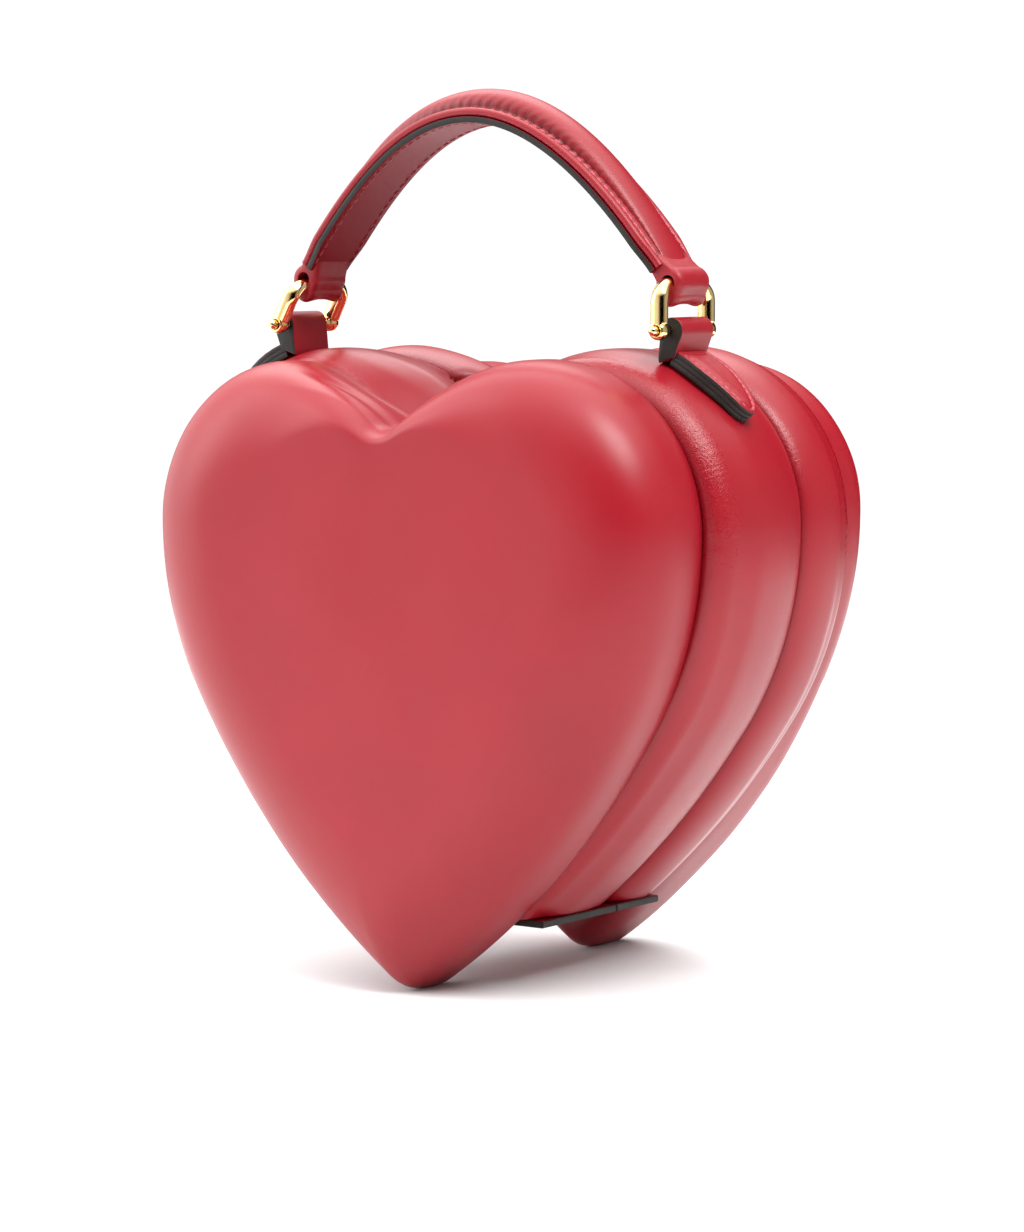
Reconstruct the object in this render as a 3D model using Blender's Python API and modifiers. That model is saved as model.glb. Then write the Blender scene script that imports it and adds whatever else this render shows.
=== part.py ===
"""Heart-shaped top handle bag in padded leather.

Two padded hearts, front (towards -Y) and rear, are joined by a gusset of two padded rolls.
A zip runs in the crease between the rolls, so the bag opens like a shell about its base strip.
The front heart and the wide roll are the body; the rear heart and the narrow roll are the lid.
An arched handle hangs on two bowed rings, and each ring swings on a tab sewn to the wide roll.
Units are metres. The origin is under the middle of the bag, at the level of the heart tips.
"""
import math

import bmesh
import bpy
from mathutils import Matrix, Vector

# Gap between pieces that touch
GAP = 0.0003

# Leather, cloth and board thicknesses
COVER = 0.0012
CLOTH = 0.0008
BOARD = 0.0020

# Notch and tip of every heart outline
NOTCH_RADIUS = 0.0060
TIP_FLAT = 0.0030

# Front padded heart: its outline, then its section
FRONT_HEIGHT = 0.2014
FRONT_LOBE_X = 0.0448
FRONT_LOBE_RADIUS = 0.0535
FRONT_CHEEK_RADIUS = 0.1220
FRONT_CHEEK_TURN = 30.5
FRONT_HEM_WIDTH = 0.0070
FRONT_RIDGE_START = 0.0110
FRONT_RIDGE_END = 0.0160
FRONT_CROWN_RUN = 0.0320

# Rear padded heart, a little slimmer and rounder
REAR_HEIGHT = 0.1985
REAR_LOBE_X = 0.0464
REAR_LOBE_RADIUS = 0.0478
REAR_CHEEK_RADIUS = 0.1277
REAR_CHEEK_TURN = 23.4
REAR_HEM_WIDTH = 0.0080
REAR_RIDGE_START = 0.0170
REAR_RIDGE_END = 0.0240
REAR_CROWN_RUN = 0.0360

# Section that both padded hearts share, from the flat inner face to the crown
PAD_FACE_Y = 0.0340
PAD_THICKNESS = 0.0430
PAD_CROWN_POWER = 0.78
BOARD_CLEARANCE = 0.0015

# Outline of the gusset, a little proud of the hearts
GUSSET_HEIGHT = 0.2043
GUSSET_LOBE_X = 0.0524
GUSSET_LOBE_RADIUS = 0.0560
GUSSET_CHEEK_RADIUS = 0.1180
GUSSET_CHEEK_TURN = 34.6
GUSSET_TIP_DROP = 0.0030

# Section of the two gusset rolls
GUSSET_DEPTH = 0.0140
ROLL_CROWN = 0.0020
BODY_ROLL_CORNER = 0.0080
LID_ROLL_CORNER = 0.0070

# Zip, in the crease between the rolls
ZIP_Y = 0.0088
TAPE_TOP_INSET = 0.0062
TAPE_THICKNESS = 0.0006
TEETH_TOP_INSET = 0.0068
TEETH_HEIGHT = 0.0027
TEETH_WIDTH = 0.0021

# Base strip that the hinge fold runs along
BASE_Z = 0.0222
BASE_THICKNESS = 0.0022

# Zip slider and its pull
SLIDER_SLACK = 9.689
SLIDER_LENGTH = 0.0080
SLIDER_PLATE = 0.0012
SLIDER_FLANGE = 0.0005
SLIDER_CLEARANCE = 0.0006
SLIDER_SIDE_GAP = 0.00025
FLANGE_CLEARANCE = 0.0008
BRIDGE_WIDTH = 0.0016
BRIDGE_BAR = 0.0010
BRIDGE_HEIGHT = 0.0042
BRIDGE_ROOT_SHARE = 0.25
PULL_LENGTH = 0.0110
PULL_WIDTH = 0.0044
PULL_THICKNESS = 0.0010
PULL_BAR = 0.0012
PULL_ROOM = 0.0012
PULL_CLEARANCE = 0.0006

# Tabs that carry the rings
TAB_WIDTH = 0.0163
TAB_LOOP_WALL = 0.0022
TAB_LOOP_CLEARANCE = 0.0005
TAB_SIDE_GAP = 0.00145
TAB_SHOULDER = 30.0
LEAF_THICKNESS = 0.0042
LEAF_ROOT = 66.0
LEAF_POINT = 37.0
LEAF_WIDTH_SHARES = (1.0, 1.06, 1.08, 1.04, 0.95, 0.80, 0.58, 0.32, 0.08)

# Rings, each a bow with a pin through its eyes
PIN_TURN = 70.2
PIN_LIFT = 0.0100
RING_LEAN_LEFT = 27.0
RING_LEAN_RIGHT = 0.0
PIN_RADIUS = 0.0014
PIN_HEAD_STEP = 0.0004
PIN_HEAD_SINK = 0.0007
BOW_HEIGHT = 0.0145
BOW_CORNER = 0.0050
BOW_WIRE = 0.0020
EYE_WALL = 0.0014
EYE_LENGTH = 0.0044
BEAD_WALL = 0.0006
BEAD_SINK = 0.0006
BORE_OVERRUN = 0.0020

# Handle
HANDLE_WIDTH = 0.0240
HANDLE_STRAP = 0.0034
HANDLE_RISE = 0.0531
HANDLE_END_GAP = 0.0070
HANDLE_SEAM_WIDTH = 0.0045
HANDLE_PAD_HEIGHT = 0.0062
HANDLE_PAD_END_SHARE = 0.16
HANDLE_PAD_POWER = 4
LOOP_WALL = 0.0018
LOOP_CLEARANCE = 0.0011
LOOP_SIDE_GAP = 0.0025
LOOP_SEAT = 0.0006
LOOP_SLACK = 0.0036
LOOP_SHOULDER = 72.0

# Steps along curved stretches
NOTCH_STEPS = 2
LOBE_STEPS = 9
CHEEK_STEPS = 3
FLANK_STEPS = 4
PAD_BACK_STEPS = 3
PAD_FRONT_STEPS = 5
CORNER_STEPS = 2
HANDLE_STEPS = 22
CORE_END_STEPS = 2
HUMP_STEPS = 6
ROUND_STEPS = 14
BALL_STEPS = 8
BOW_CORNER_STEPS = 5
LOOP_STEPS = 8
LOOP_EYE_STEPS = 7
LOOP_SHOULDER_STEPS = 4

# Least half-width of a cut tip, distance that joins a curve's caps, and least angle of an edge
TIP_STEP = 0.0003
CAP_WELD = 0.000003
EDGE_ANGLE = 40.0


def arc(centre, radius, start, end, steps, last=True):
    """Points on an arc in a plane, from one angle to another in radians."""
    points = []
    for step in range(steps + 1 if last else steps):
        angle = start + (end - start) * step / steps
        points.append(centre + radius * Vector((math.cos(angle), math.sin(angle))))
    return points


class Heart:
    """A heart outline in the X-Z plane, with every outline parallel to it.

    Its right half is a notch arc, a lobe arc, a cheek arc and a flank arc, each tangent to the
    next, so an inset only changes the radii. The tip between the flanks is cut off flat.
    """

    def __init__(self, height, lobe_x, lobe_radius, cheek_radius, cheek_turn, tip_z):
        turn = math.radians(cheek_turn)
        normal = Vector((math.cos(turn), -math.sin(turn)))
        self.lobe = Vector((lobe_x, height - lobe_radius))
        self.lobe_radius = lobe_radius
        notch_reach = lobe_radius + NOTCH_RADIUS
        self.notch = Vector((0, self.lobe.y + math.sqrt(notch_reach ** 2 - lobe_x ** 2)))
        to_lobe = self.lobe - self.notch
        self.notch_end = math.atan2(to_lobe.y, to_lobe.x)
        self.cheek = self.lobe + Vector((lobe_radius - cheek_radius, 0))
        self.cheek_radius = cheek_radius
        self.cheek_end = -turn
        self.tip_z = tip_z
        cheek_foot = self.cheek + cheek_radius * normal
        reach = cheek_foot - Vector((TIP_FLAT / 2, tip_z))
        self.flank_radius = reach.length_squared / (2 * normal.dot(reach))
        self.flank = cheek_foot - self.flank_radius * normal

    def upper(self, inset):
        """Right half from the notch down to the end of the cheek."""
        lobe_start = self.notch_end + math.pi
        points = arc(self.notch, NOTCH_RADIUS + inset, -math.pi / 2, self.notch_end, NOTCH_STEPS, False)
        points += arc(self.lobe, self.lobe_radius - inset, lobe_start, 0, LOBE_STEPS, False)
        points += arc(self.cheek, self.cheek_radius - inset, 0, self.cheek_end, CHEEK_STEPS, False)
        return points

    def half(self, inset):
        """Right half from the notch on the centre line to the corner of the flat tip."""
        radius = self.flank_radius - inset
        drop = self.flank.y - self.tip_z - inset
        corner = self.flank.x + math.sqrt(radius ** 2 - drop ** 2)
        if corner < TIP_STEP:
            corner = TIP_STEP
            drop = math.sqrt(radius ** 2 - (corner - self.flank.x) ** 2)
        end = math.atan2(-drop, corner - self.flank.x)
        return self.upper(inset) + arc(self.flank, radius, self.cheek_end, end, FLANK_STEPS)

    def loop(self, inset):
        """The whole outline, once round."""
        right = self.half(inset)
        return right + [Vector((-p.x, p.y)) for p in reversed(right[1:])]

    def path(self, inset, base):
        """The outline from the left foot over both lobes to the right foot, cut off at a height."""
        radius = self.flank_radius - inset
        end = -math.asin((self.flank.y - base) / radius)
        right = self.upper(inset) + arc(self.flank, radius, self.cheek_end, end, FLANK_STEPS)
        return [Vector((-p.x, p.y)) for p in reversed(right[1:])] + right


class Pad:
    """Shape of a padded heart, on the side -1 in front or 1 at the rear."""

    def __init__(self, side, outline, hem_width, ridge_start, ridge_end, crown_run):
        self.side = side
        self.outline = outline
        self.board_inset = hem_width + BOARD_CLEARANCE
        self.profile = []
        for step in range(PAD_BACK_STEPS + 1):
            angle = math.pi / 2 * step / PAD_BACK_STEPS
            depth = ridge_start * (1 - math.cos(angle))
            self.profile.append((hem_width * (1 - math.sin(angle)), depth))
        for step in range(PAD_FRONT_STEPS + 1):
            angle = math.pi / 2 * step / PAD_FRONT_STEPS
            rise = (PAD_THICKNESS - ridge_end) * math.sin(angle) ** PAD_CROWN_POWER
            self.profile.append((crown_run * (1 - math.cos(angle)), ridge_end + rise))

    def rows(self, profile):
        """Loops of the outline at each inset and depth of a profile."""
        rows = []
        for inset, depth in profile:
            y = self.side * (PAD_FACE_Y + depth)
            rows.append([(p.x, y, p.y) for p in self.outline.loop(inset)])
        return rows


FRONT_PAD = Pad(-1, Heart(FRONT_HEIGHT, FRONT_LOBE_X, FRONT_LOBE_RADIUS, FRONT_CHEEK_RADIUS,
                          FRONT_CHEEK_TURN, 0),
                FRONT_HEM_WIDTH, FRONT_RIDGE_START, FRONT_RIDGE_END, FRONT_CROWN_RUN)
REAR_PAD = Pad(1, Heart(REAR_HEIGHT, REAR_LOBE_X, REAR_LOBE_RADIUS, REAR_CHEEK_RADIUS,
                        REAR_CHEEK_TURN, 0),
               REAR_HEM_WIDTH, REAR_RIDGE_START, REAR_RIDGE_END, REAR_CROWN_RUN)
GUSSET = Heart(GUSSET_HEIGHT, GUSSET_LOBE_X, GUSSET_LOBE_RADIUS, GUSSET_CHEEK_RADIUS,
               GUSSET_CHEEK_TURN, -GUSSET_TIP_DROP)

# Sizes and places of the gusset that follow
SLIDER_HALF = GAP / 2 + TEETH_WIDTH + GAP + SLIDER_FLANGE
CREASE_HALF = SLIDER_HALF + SLIDER_SIDE_GAP + TAPE_THICKNESS + GAP
ROLL_FACE_Y = PAD_FACE_Y - GAP
BODY_ROLL_END = ZIP_Y - CREASE_HALF
LID_ROLL_START = ZIP_Y + CREASE_HALF
GUSSET_FOOT = BASE_Z + GAP
HINGE = Vector((0, ZIP_Y, BASE_Z - BASE_THICKNESS))
LINING_INSET = GUSSET_DEPTH + GAP
PANEL_INSET = LINING_INSET + CLOTH + GAP

# Sizes of the zip pulls' bridges, the rings and the loops that follow
BRIDGE_LENGTH = PULL_BAR + 2 * (PULL_ROOM + BRIDGE_BAR)
PIN_BORE = PIN_RADIUS + GAP
EYE_RADIUS = PIN_BORE + EYE_WALL
BEAD_RADIUS = PIN_BORE + BEAD_WALL
PIN_HEAD_RADIUS = PIN_RADIUS + PIN_HEAD_STEP
BOW_WIDTH = TAB_WIDTH + 2 * (TAB_SIDE_GAP + BEAD_RADIUS - BEAD_SINK) + EYE_LENGTH
LOOP_WIDTH = BOW_WIDTH - 2 * (BOW_WIRE + LOOP_SIDE_GAP)


def lean(degrees):
    """Where a ring's upper bar is from its pin, when it leans towards +X."""
    angle = math.radians(degrees)
    return BOW_HEIGHT * Vector((math.sin(angle), 0, math.cos(angle)))


# Each pin stands over a lobe, halfway across the body's roll
PIN_REACH = GUSSET_LOBE_RADIUS + PIN_LIFT
RING_X = GUSSET.lobe.x + PIN_REACH * math.cos(math.radians(PIN_TURN))
RING_Y = (BODY_ROLL_END - ROLL_FACE_Y) / 2
RING_Z = GUSSET.lobe.y + PIN_REACH * math.sin(math.radians(PIN_TURN))
PIN_LEFT = Vector((-RING_X, RING_Y, RING_Z))
PIN_RIGHT = Vector((RING_X, RING_Y, RING_Z))
BAR_LEFT = PIN_LEFT + lean(RING_LEAN_LEFT)
BAR_RIGHT = PIN_RIGHT + lean(RING_LEAN_RIGHT)
HANDLE_X = (BAR_LEFT.x + BAR_RIGHT.x) / 2
HANDLE_HALF_SPAN = (BAR_RIGHT.x - BAR_LEFT.x) / 2


def clear_scene():
    for item in list(bpy.data.objects):
        bpy.data.objects.remove(item, do_unlink=True)


def make_collection(name):
    collection = bpy.data.collections.new(name)
    bpy.context.scene.collection.children.link(collection)
    return collection


def make_material(name, colour, roughness, metallic=0.0):
    material = bpy.data.materials.new(name)
    material.use_nodes = True
    shader = material.node_tree.nodes["Principled BSDF"]
    shader.inputs["Base Color"].default_value = (*colour, 1)
    shader.inputs["Roughness"].default_value = roughness
    shader.inputs["Metallic"].default_value = metallic
    return material


clear_scene()
BAG = make_collection("top_handle_bag")
CUTTERS = make_collection("cutters")

RED_LEATHER = ("red_leather", (0.62, 0.05, 0.07), 0.42, 0.0)
STRAP_LEATHER = ("dark_red_leather", (0.30, 0.02, 0.04), 0.35, 0.0)
LINING_CLOTH = ("lining_cloth", (0.22, 0.02, 0.03), 0.85, 0.0)
FOAM = ("foam", (0.80, 0.78, 0.70), 0.90, 0.0)
BOARD_FIBRE = ("board_fibre", (0.45, 0.38, 0.30), 0.80, 0.0)
GOLD = ("gold_metal", (0.83, 0.58, 0.26), 0.15, 1.0)
ZIP_CLOTH = ("zip_cloth", (0.25, 0.02, 0.04), 0.80, 0.0)


def add_object(name, mesh, finish, parent=None):
    """Put a mesh in the bag's collection, with its own material, on its pivot."""
    item = bpy.data.objects.new(name, mesh)
    BAG.objects.link(item)
    _, colour, roughness, metallic = finish
    mesh.materials.clear()
    mesh.materials.append(make_material(name + "_" + finish[0], colour, roughness, metallic))
    mesh.shade_smooth()
    mesh.set_sharp_from_angle(angle=math.radians(EDGE_ANGLE))
    if parent:
        item.parent = parent
        item.matrix_parent_inverse = parent.matrix_world.inverted()
    return item


def add_pivot(name, place, tilt=0.0, parent=None):
    """An empty on a joint's axis. The tilt, in degrees, is about Y."""
    pivot = bpy.data.objects.new(name, None)
    BAG.objects.link(pivot)
    pivot.matrix_world = Matrix.Translation(place) @ Matrix.Rotation(math.radians(tilt), 4, "Y")
    bpy.context.view_layer.update()
    if parent:
        world = pivot.matrix_world.copy()
        pivot.parent = parent
        pivot.matrix_parent_inverse = parent.matrix_world.inverted()
        pivot.matrix_world = world
        bpy.context.view_layer.update()
    return pivot


def lofted(name, rows, ring_rows, closed, caps):
    """A mesh through rows of points, which all have as many points.

    ring_rows joins each row's last point to its first, closed joins the last row to the first,
    and caps fills the ends: "rows" the first and last row, "last" the last row, and "columns"
    the polygons of every row's first points and of every row's last points.
    """
    shape = bmesh.new()
    grid = [[shape.verts.new(point) for point in row] for row in rows]
    width = len(grid[0])
    for index in range(len(grid) if closed else len(grid) - 1):
        low = grid[index]
        high = grid[(index + 1) % len(grid)]
        for step in range(width if ring_rows else width - 1):
            after = (step + 1) % width
            shape.faces.new((low[step], low[after], high[after], high[step]))
    if caps == "rows":
        shape.faces.new(reversed(grid[0]))
    if caps in ("rows", "last"):
        shape.faces.new(grid[-1])
    if caps == "columns":
        shape.faces.new(row[0] for row in grid)
        shape.faces.new(row[-1] for row in reversed(grid))
    bmesh.ops.recalc_face_normals(shape, faces=shape.faces)
    mesh = bpy.data.meshes.new(name)
    shape.to_mesh(mesh)
    shape.free()
    return mesh


def band(name, section):
    """A closed strip round the gusset. The section is a loop of insets and places along Y."""
    rows = []
    for inset, y in section:
        rows.append([(p.x, y, p.y) for p in GUSSET.path(inset, GUSSET_FOOT)])
    return lofted(name, rows, ring_rows=False, closed=True, caps="columns")


def solidify(item, thickness):
    """Thicken an open leather surface inwards."""
    modifier = item.modifiers.new("thickness", "SOLIDIFY")
    modifier.thickness = thickness
    modifier.offset = -1
    modifier.use_even_offset = True


def flat_plate(name, outline, holes, depth):
    """A mesh of an outline in the X-Y plane, with holes, as thick as the depth about Z = 0."""
    curve = bpy.data.curves.new(name, "CURVE")
    curve.dimensions = "2D"
    curve.fill_mode = "BOTH"
    curve.extrude = depth / 2
    for loop in [outline] + holes:
        spline = curve.splines.new("POLY")
        spline.points.add(len(loop) - 1)
        for point, (x, y) in zip(spline.points, loop):
            point.co = (x, y, 0, 1)
        spline.use_cyclic_u = True
    return curve_to_mesh(name, curve)


def curve_to_mesh(name, curve):
    """The mesh of a curve, with its caps joined on."""
    guide = bpy.data.objects.new(name + "_curve", curve)
    CUTTERS.objects.link(guide)
    bpy.context.view_layer.update()
    evaluated = guide.evaluated_get(bpy.context.evaluated_depsgraph_get())
    mesh = bpy.data.meshes.new_from_object(evaluated)
    bpy.data.objects.remove(guide, do_unlink=True)
    shape = bmesh.new()
    shape.from_mesh(mesh)
    bmesh.ops.remove_doubles(shape, verts=shape.verts, dist=CAP_WELD)
    bmesh.ops.recalc_face_normals(shape, faces=shape.faces)
    shape.to_mesh(mesh)
    shape.free()
    mesh.name = name
    return mesh


def upright(mesh, place):
    """Stand an X-Y outline up in the X-Z plane, with its thickness along Y."""
    mesh.transform(Matrix.Translation(place) @ Matrix.Rotation(math.pi / 2, 4, "X"))
    return mesh


def join_meshes(name, meshes, cut=()):
    """One body from several overlapping ones, less the cutters."""
    helpers = []
    for index, mesh in enumerate(list(meshes) + list(cut)):
        helper = bpy.data.objects.new(f"{name}_tool_{index}", mesh)
        helper.hide_render = True
        helper.display_type = "WIRE"
        CUTTERS.objects.link(helper)
        helpers.append(helper)
    base = helpers[0]
    for index, helper in enumerate(helpers[1:], start=1):
        modifier = base.modifiers.new(helper.name, "BOOLEAN")
        modifier.operation = "UNION" if index < len(meshes) else "DIFFERENCE"
        modifier.object = helper
    bpy.context.view_layer.update()
    evaluated = base.evaluated_get(bpy.context.evaluated_depsgraph_get())
    joined = bpy.data.meshes.new_from_object(evaluated)
    joined.name = name
    for helper in helpers:
        bpy.data.objects.remove(helper, do_unlink=True)
    return joined


def cylinder(radius, length, place):
    """A mesh of a round bar along Y."""
    shape = bmesh.new()
    turn = Matrix.Translation(place) @ Matrix.Rotation(math.pi / 2, 4, "X")
    bmesh.ops.create_cone(shape, cap_ends=True, segments=ROUND_STEPS, radius1=radius, radius2=radius,
                          depth=length, matrix=turn)
    mesh = bpy.data.meshes.new("cylinder")
    shape.to_mesh(mesh)
    shape.free()
    return mesh


def ball(radius, place):
    """A mesh of a ball whose poles lie along Y."""
    shape = bmesh.new()
    turn = Matrix.Translation(place) @ Matrix.Rotation(math.pi / 2, 4, "X")
    bmesh.ops.create_uvsphere(shape, u_segments=ROUND_STEPS, v_segments=BALL_STEPS, radius=radius,
                              matrix=turn)
    mesh = bpy.data.meshes.new("ball")
    shape.to_mesh(mesh)
    shape.free()
    return mesh


def offset_profile(points, distance):
    """A profile moved to its inner side, square to itself."""
    moved = []
    for index, (inset, depth) in enumerate(points):
        before = points[max(index - 1, 0)]
        after = points[min(index + 1, len(points) - 1)]
        along = Vector((after[0] - before[0], after[1] - before[1])).normalized()
        if index == len(points) - 1:
            along = Vector((1, 0))
        moved.append((inset + distance * along.y, depth - distance * along.x))
    return moved


def make_pad(prefix, pad, parent):
    """A padded heart: leather cover, foam, stiffening board and a lining panel."""
    cover = lofted(prefix + "_pad_cover", pad.rows(pad.profile), True, False, "last")
    solidify(add_object(prefix + "_pad_cover", cover, RED_LEATHER, parent), COVER)

    board_back = COVER + GAP
    board_front = board_back + BOARD
    foam_back = board_front + GAP
    foam_profile = [(pad.board_inset, foam_back)]
    for inset, depth in offset_profile(pad.profile, COVER + GAP):
        if depth > foam_back + COVER:
            foam_profile.append((inset, depth))
    foam = lofted(prefix + "_pad_foam", pad.rows(foam_profile), True, False, "rows")
    add_object(prefix + "_pad_foam", foam, FOAM, parent)

    board_profile = [(pad.board_inset, board_back), (pad.board_inset, board_front)]
    board = lofted(prefix + "_pad_board", pad.rows(board_profile), True, False, "rows")
    add_object(prefix + "_pad_board", board, BOARD_FIBRE, parent)

    outline = GUSSET.path(PANEL_INSET, GUSSET_FOOT)
    rows = []
    for y in (ROLL_FACE_Y, ROLL_FACE_Y - CLOTH):
        rows.append([(p.x, pad.side * y, p.y) for p in outline])
    panel = lofted(prefix + "_lining_panel", rows, True, False, "rows")
    add_object(prefix + "_lining_panel", panel, LINING_CLOTH, parent)


def roll_profile(start, end, corner, offset):
    """Inset and place along Y of a roll's surface, from one inner edge over the crown to the other."""
    low = start + offset
    high = end - offset
    radius = corner - offset
    rounding = []
    for step in range(CORNER_STEPS + 1):
        angle = math.pi / 2 * step / CORNER_STEPS
        inset = ROLL_CROWN + corner - radius * math.sin(angle)
        rounding.append((inset, radius * (1 - math.cos(angle))))
    points = [(GUSSET_DEPTH, low)]
    points += [(inset, low + run) for inset, run in rounding]
    points.append((offset, (start + end) / 2))
    points += [(inset, high - run) for inset, run in reversed(rounding)]
    points.append((GUSSET_DEPTH, high))
    return points


def make_roll(prefix, start, end, corner, parent):
    """A padded roll of the gusset: leather cover, foam and lining."""
    rows = []
    for inset, y in roll_profile(start, end, corner, 0):
        rows.append([(p.x, y, p.y) for p in GUSSET.path(inset, GUSSET_FOOT)])
    cover = lofted(prefix + "_gusset_cover", rows, False, False, "none")
    solidify(add_object(prefix + "_gusset_cover", cover, RED_LEATHER, parent), COVER)

    foam = band(prefix + "_gusset_foam", roll_profile(start, end, corner, COVER + GAP))
    add_object(prefix + "_gusset_foam", foam, FOAM, parent)

    inner = LINING_INSET + CLOTH
    section = [(LINING_INSET, start), (LINING_INSET, end), (inner, end), (inner, start)]
    add_object(prefix + "_gusset_lining", band(prefix + "_gusset_lining", section), LINING_CLOTH, parent)


def make_zip_half(prefix, side, parent):
    """Tape and teeth of one side of the zip. The side is -1 on the body, 1 on the lid."""
    wall = CREASE_HALF - GAP
    middle = GAP / 2
    teeth_low = TEETH_TOP_INSET + TEETH_HEIGHT
    foot_top = teeth_low + GAP
    foot_low = foot_top + TAPE_THICKNESS
    outline = [(TAPE_TOP_INSET, wall), (TAPE_TOP_INSET, wall - TAPE_THICKNESS),
               (foot_top, wall - TAPE_THICKNESS), (foot_top, middle), (foot_low, middle), (foot_low, wall)]
    section = [(inset, ZIP_Y + side * y) for inset, y in outline]
    add_object(prefix + "_zip_tape", band(prefix + "_zip_tape", section), ZIP_CLOTH, parent)

    outline = [(TEETH_TOP_INSET, middle), (TEETH_TOP_INSET, middle + TEETH_WIDTH),
               (teeth_low, middle + TEETH_WIDTH), (teeth_low, middle)]
    section = [(inset, ZIP_Y + side * y) for inset, y in outline]
    add_object(prefix + "_zip_teeth", band(prefix + "_zip_teeth", section), GOLD, parent)


def make_base(prefix, start, end, parent):
    """One half of the base strip, as wide as the gusset's feet."""
    half = GUSSET.path(0, GUSSET_FOOT)[-1].x
    shape = bmesh.new()
    size = Matrix.Diagonal((2 * half, end - start, BASE_THICKNESS, 1))
    place = Matrix.Translation((0, (start + end) / 2, BASE_Z - BASE_THICKNESS / 2))
    bmesh.ops.create_cube(shape, size=1, matrix=place @ size)
    mesh = bpy.data.meshes.new(prefix + "_base_strip")
    shape.to_mesh(mesh)
    shape.free()
    add_object(prefix + "_base_strip", mesh, RED_LEATHER, parent)


def make_slider(prefix, side, parent):
    """A zip slider near the notch, and its pull. It is drawn at the top of its lobe, then turned."""
    centre = Vector((side * GUSSET.lobe.x, 0, GUSSET.lobe.y))
    park = GUSSET.notch_end + math.pi - math.radians(SLIDER_SLACK)
    turn = Matrix.Rotation(side * (math.pi / 2 - park), 4, "Y")
    runs_on = GUSSET.lobe_radius - TEETH_TOP_INSET + SLIDER_CLEARANCE
    tape_foot = GUSSET.lobe_radius - TEETH_TOP_INSET - TEETH_HEIGHT - GAP
    flange_low = tape_foot + FLANGE_CLEARANCE
    flange_y = SLIDER_FLANGE - SLIDER_HALF
    outline = [(-SLIDER_HALF, flange_low), (flange_y, flange_low), (flange_y, runs_on),
               (SLIDER_HALF, runs_on), (SLIDER_HALF, runs_on + SLIDER_PLATE),
               (-SLIDER_HALF, runs_on + SLIDER_PLATE)]
    body = flat_plate("slider_body", outline, [], SLIDER_LENGTH)
    body.transform(Matrix(((0, 0, 1, 0), (1, 0, 0, ZIP_Y), (0, 1, 0, 0), (0, 0, 0, 1))))

    half = BRIDGE_LENGTH / 2
    seat = runs_on + SLIDER_PLATE / 2
    top = runs_on + SLIDER_PLATE + BRIDGE_HEIGHT
    outline = [(-half, seat), (half, seat), (half, top), (-half, top)]
    side_x = half - BRIDGE_BAR
    low_z = seat + BRIDGE_ROOT_SHARE * SLIDER_PLATE
    high_z = top - BRIDGE_BAR
    window = [(-side_x, low_z), (side_x, low_z), (side_x, high_z), (-side_x, high_z)]
    bridge = upright(flat_plate("slider_bridge", outline, [window], BRIDGE_WIDTH), (0, ZIP_Y, 0))

    mesh = join_meshes(prefix + "_zip_slider", [body, bridge])
    mesh.transform(Matrix.Translation(centre) @ turn)
    travel = add_pivot(prefix + "_slider_travel", centre, parent=parent)
    add_object(prefix + "_zip_slider", mesh, GOLD, travel)

    bar_z = high_z - GAP - PULL_THICKNESS / 2
    slot_start = PULL_BAR / 2
    slot_end = half + PULL_CLEARANCE
    outline = [(-slot_start, -PULL_WIDTH / 2), (PULL_LENGTH, -PULL_WIDTH / 2),
               (PULL_LENGTH, PULL_WIDTH / 2), (-slot_start, PULL_WIDTH / 2)]
    rail = BRIDGE_WIDTH / 2 + GAP
    slot = [(slot_start, -rail), (slot_end, -rail), (slot_end, rail), (slot_start, rail)]
    pull = flat_plate(prefix + "_zip_pull", outline, [slot], PULL_THICKNESS)
    pull.transform(Matrix.Diagonal((side, 1, 1, 1)))
    if side < 0:
        pull.flip_normals()
    pull.transform(Matrix.Translation(centre) @ turn @ Matrix.Translation((0, ZIP_Y, bar_z)))
    axis = centre + turn @ Vector((0, ZIP_Y, bar_z))
    swing = add_pivot(prefix + "_pull_swing", axis, parent=travel)
    add_object(prefix + "_zip_pull", pull, GOLD, swing)


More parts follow.
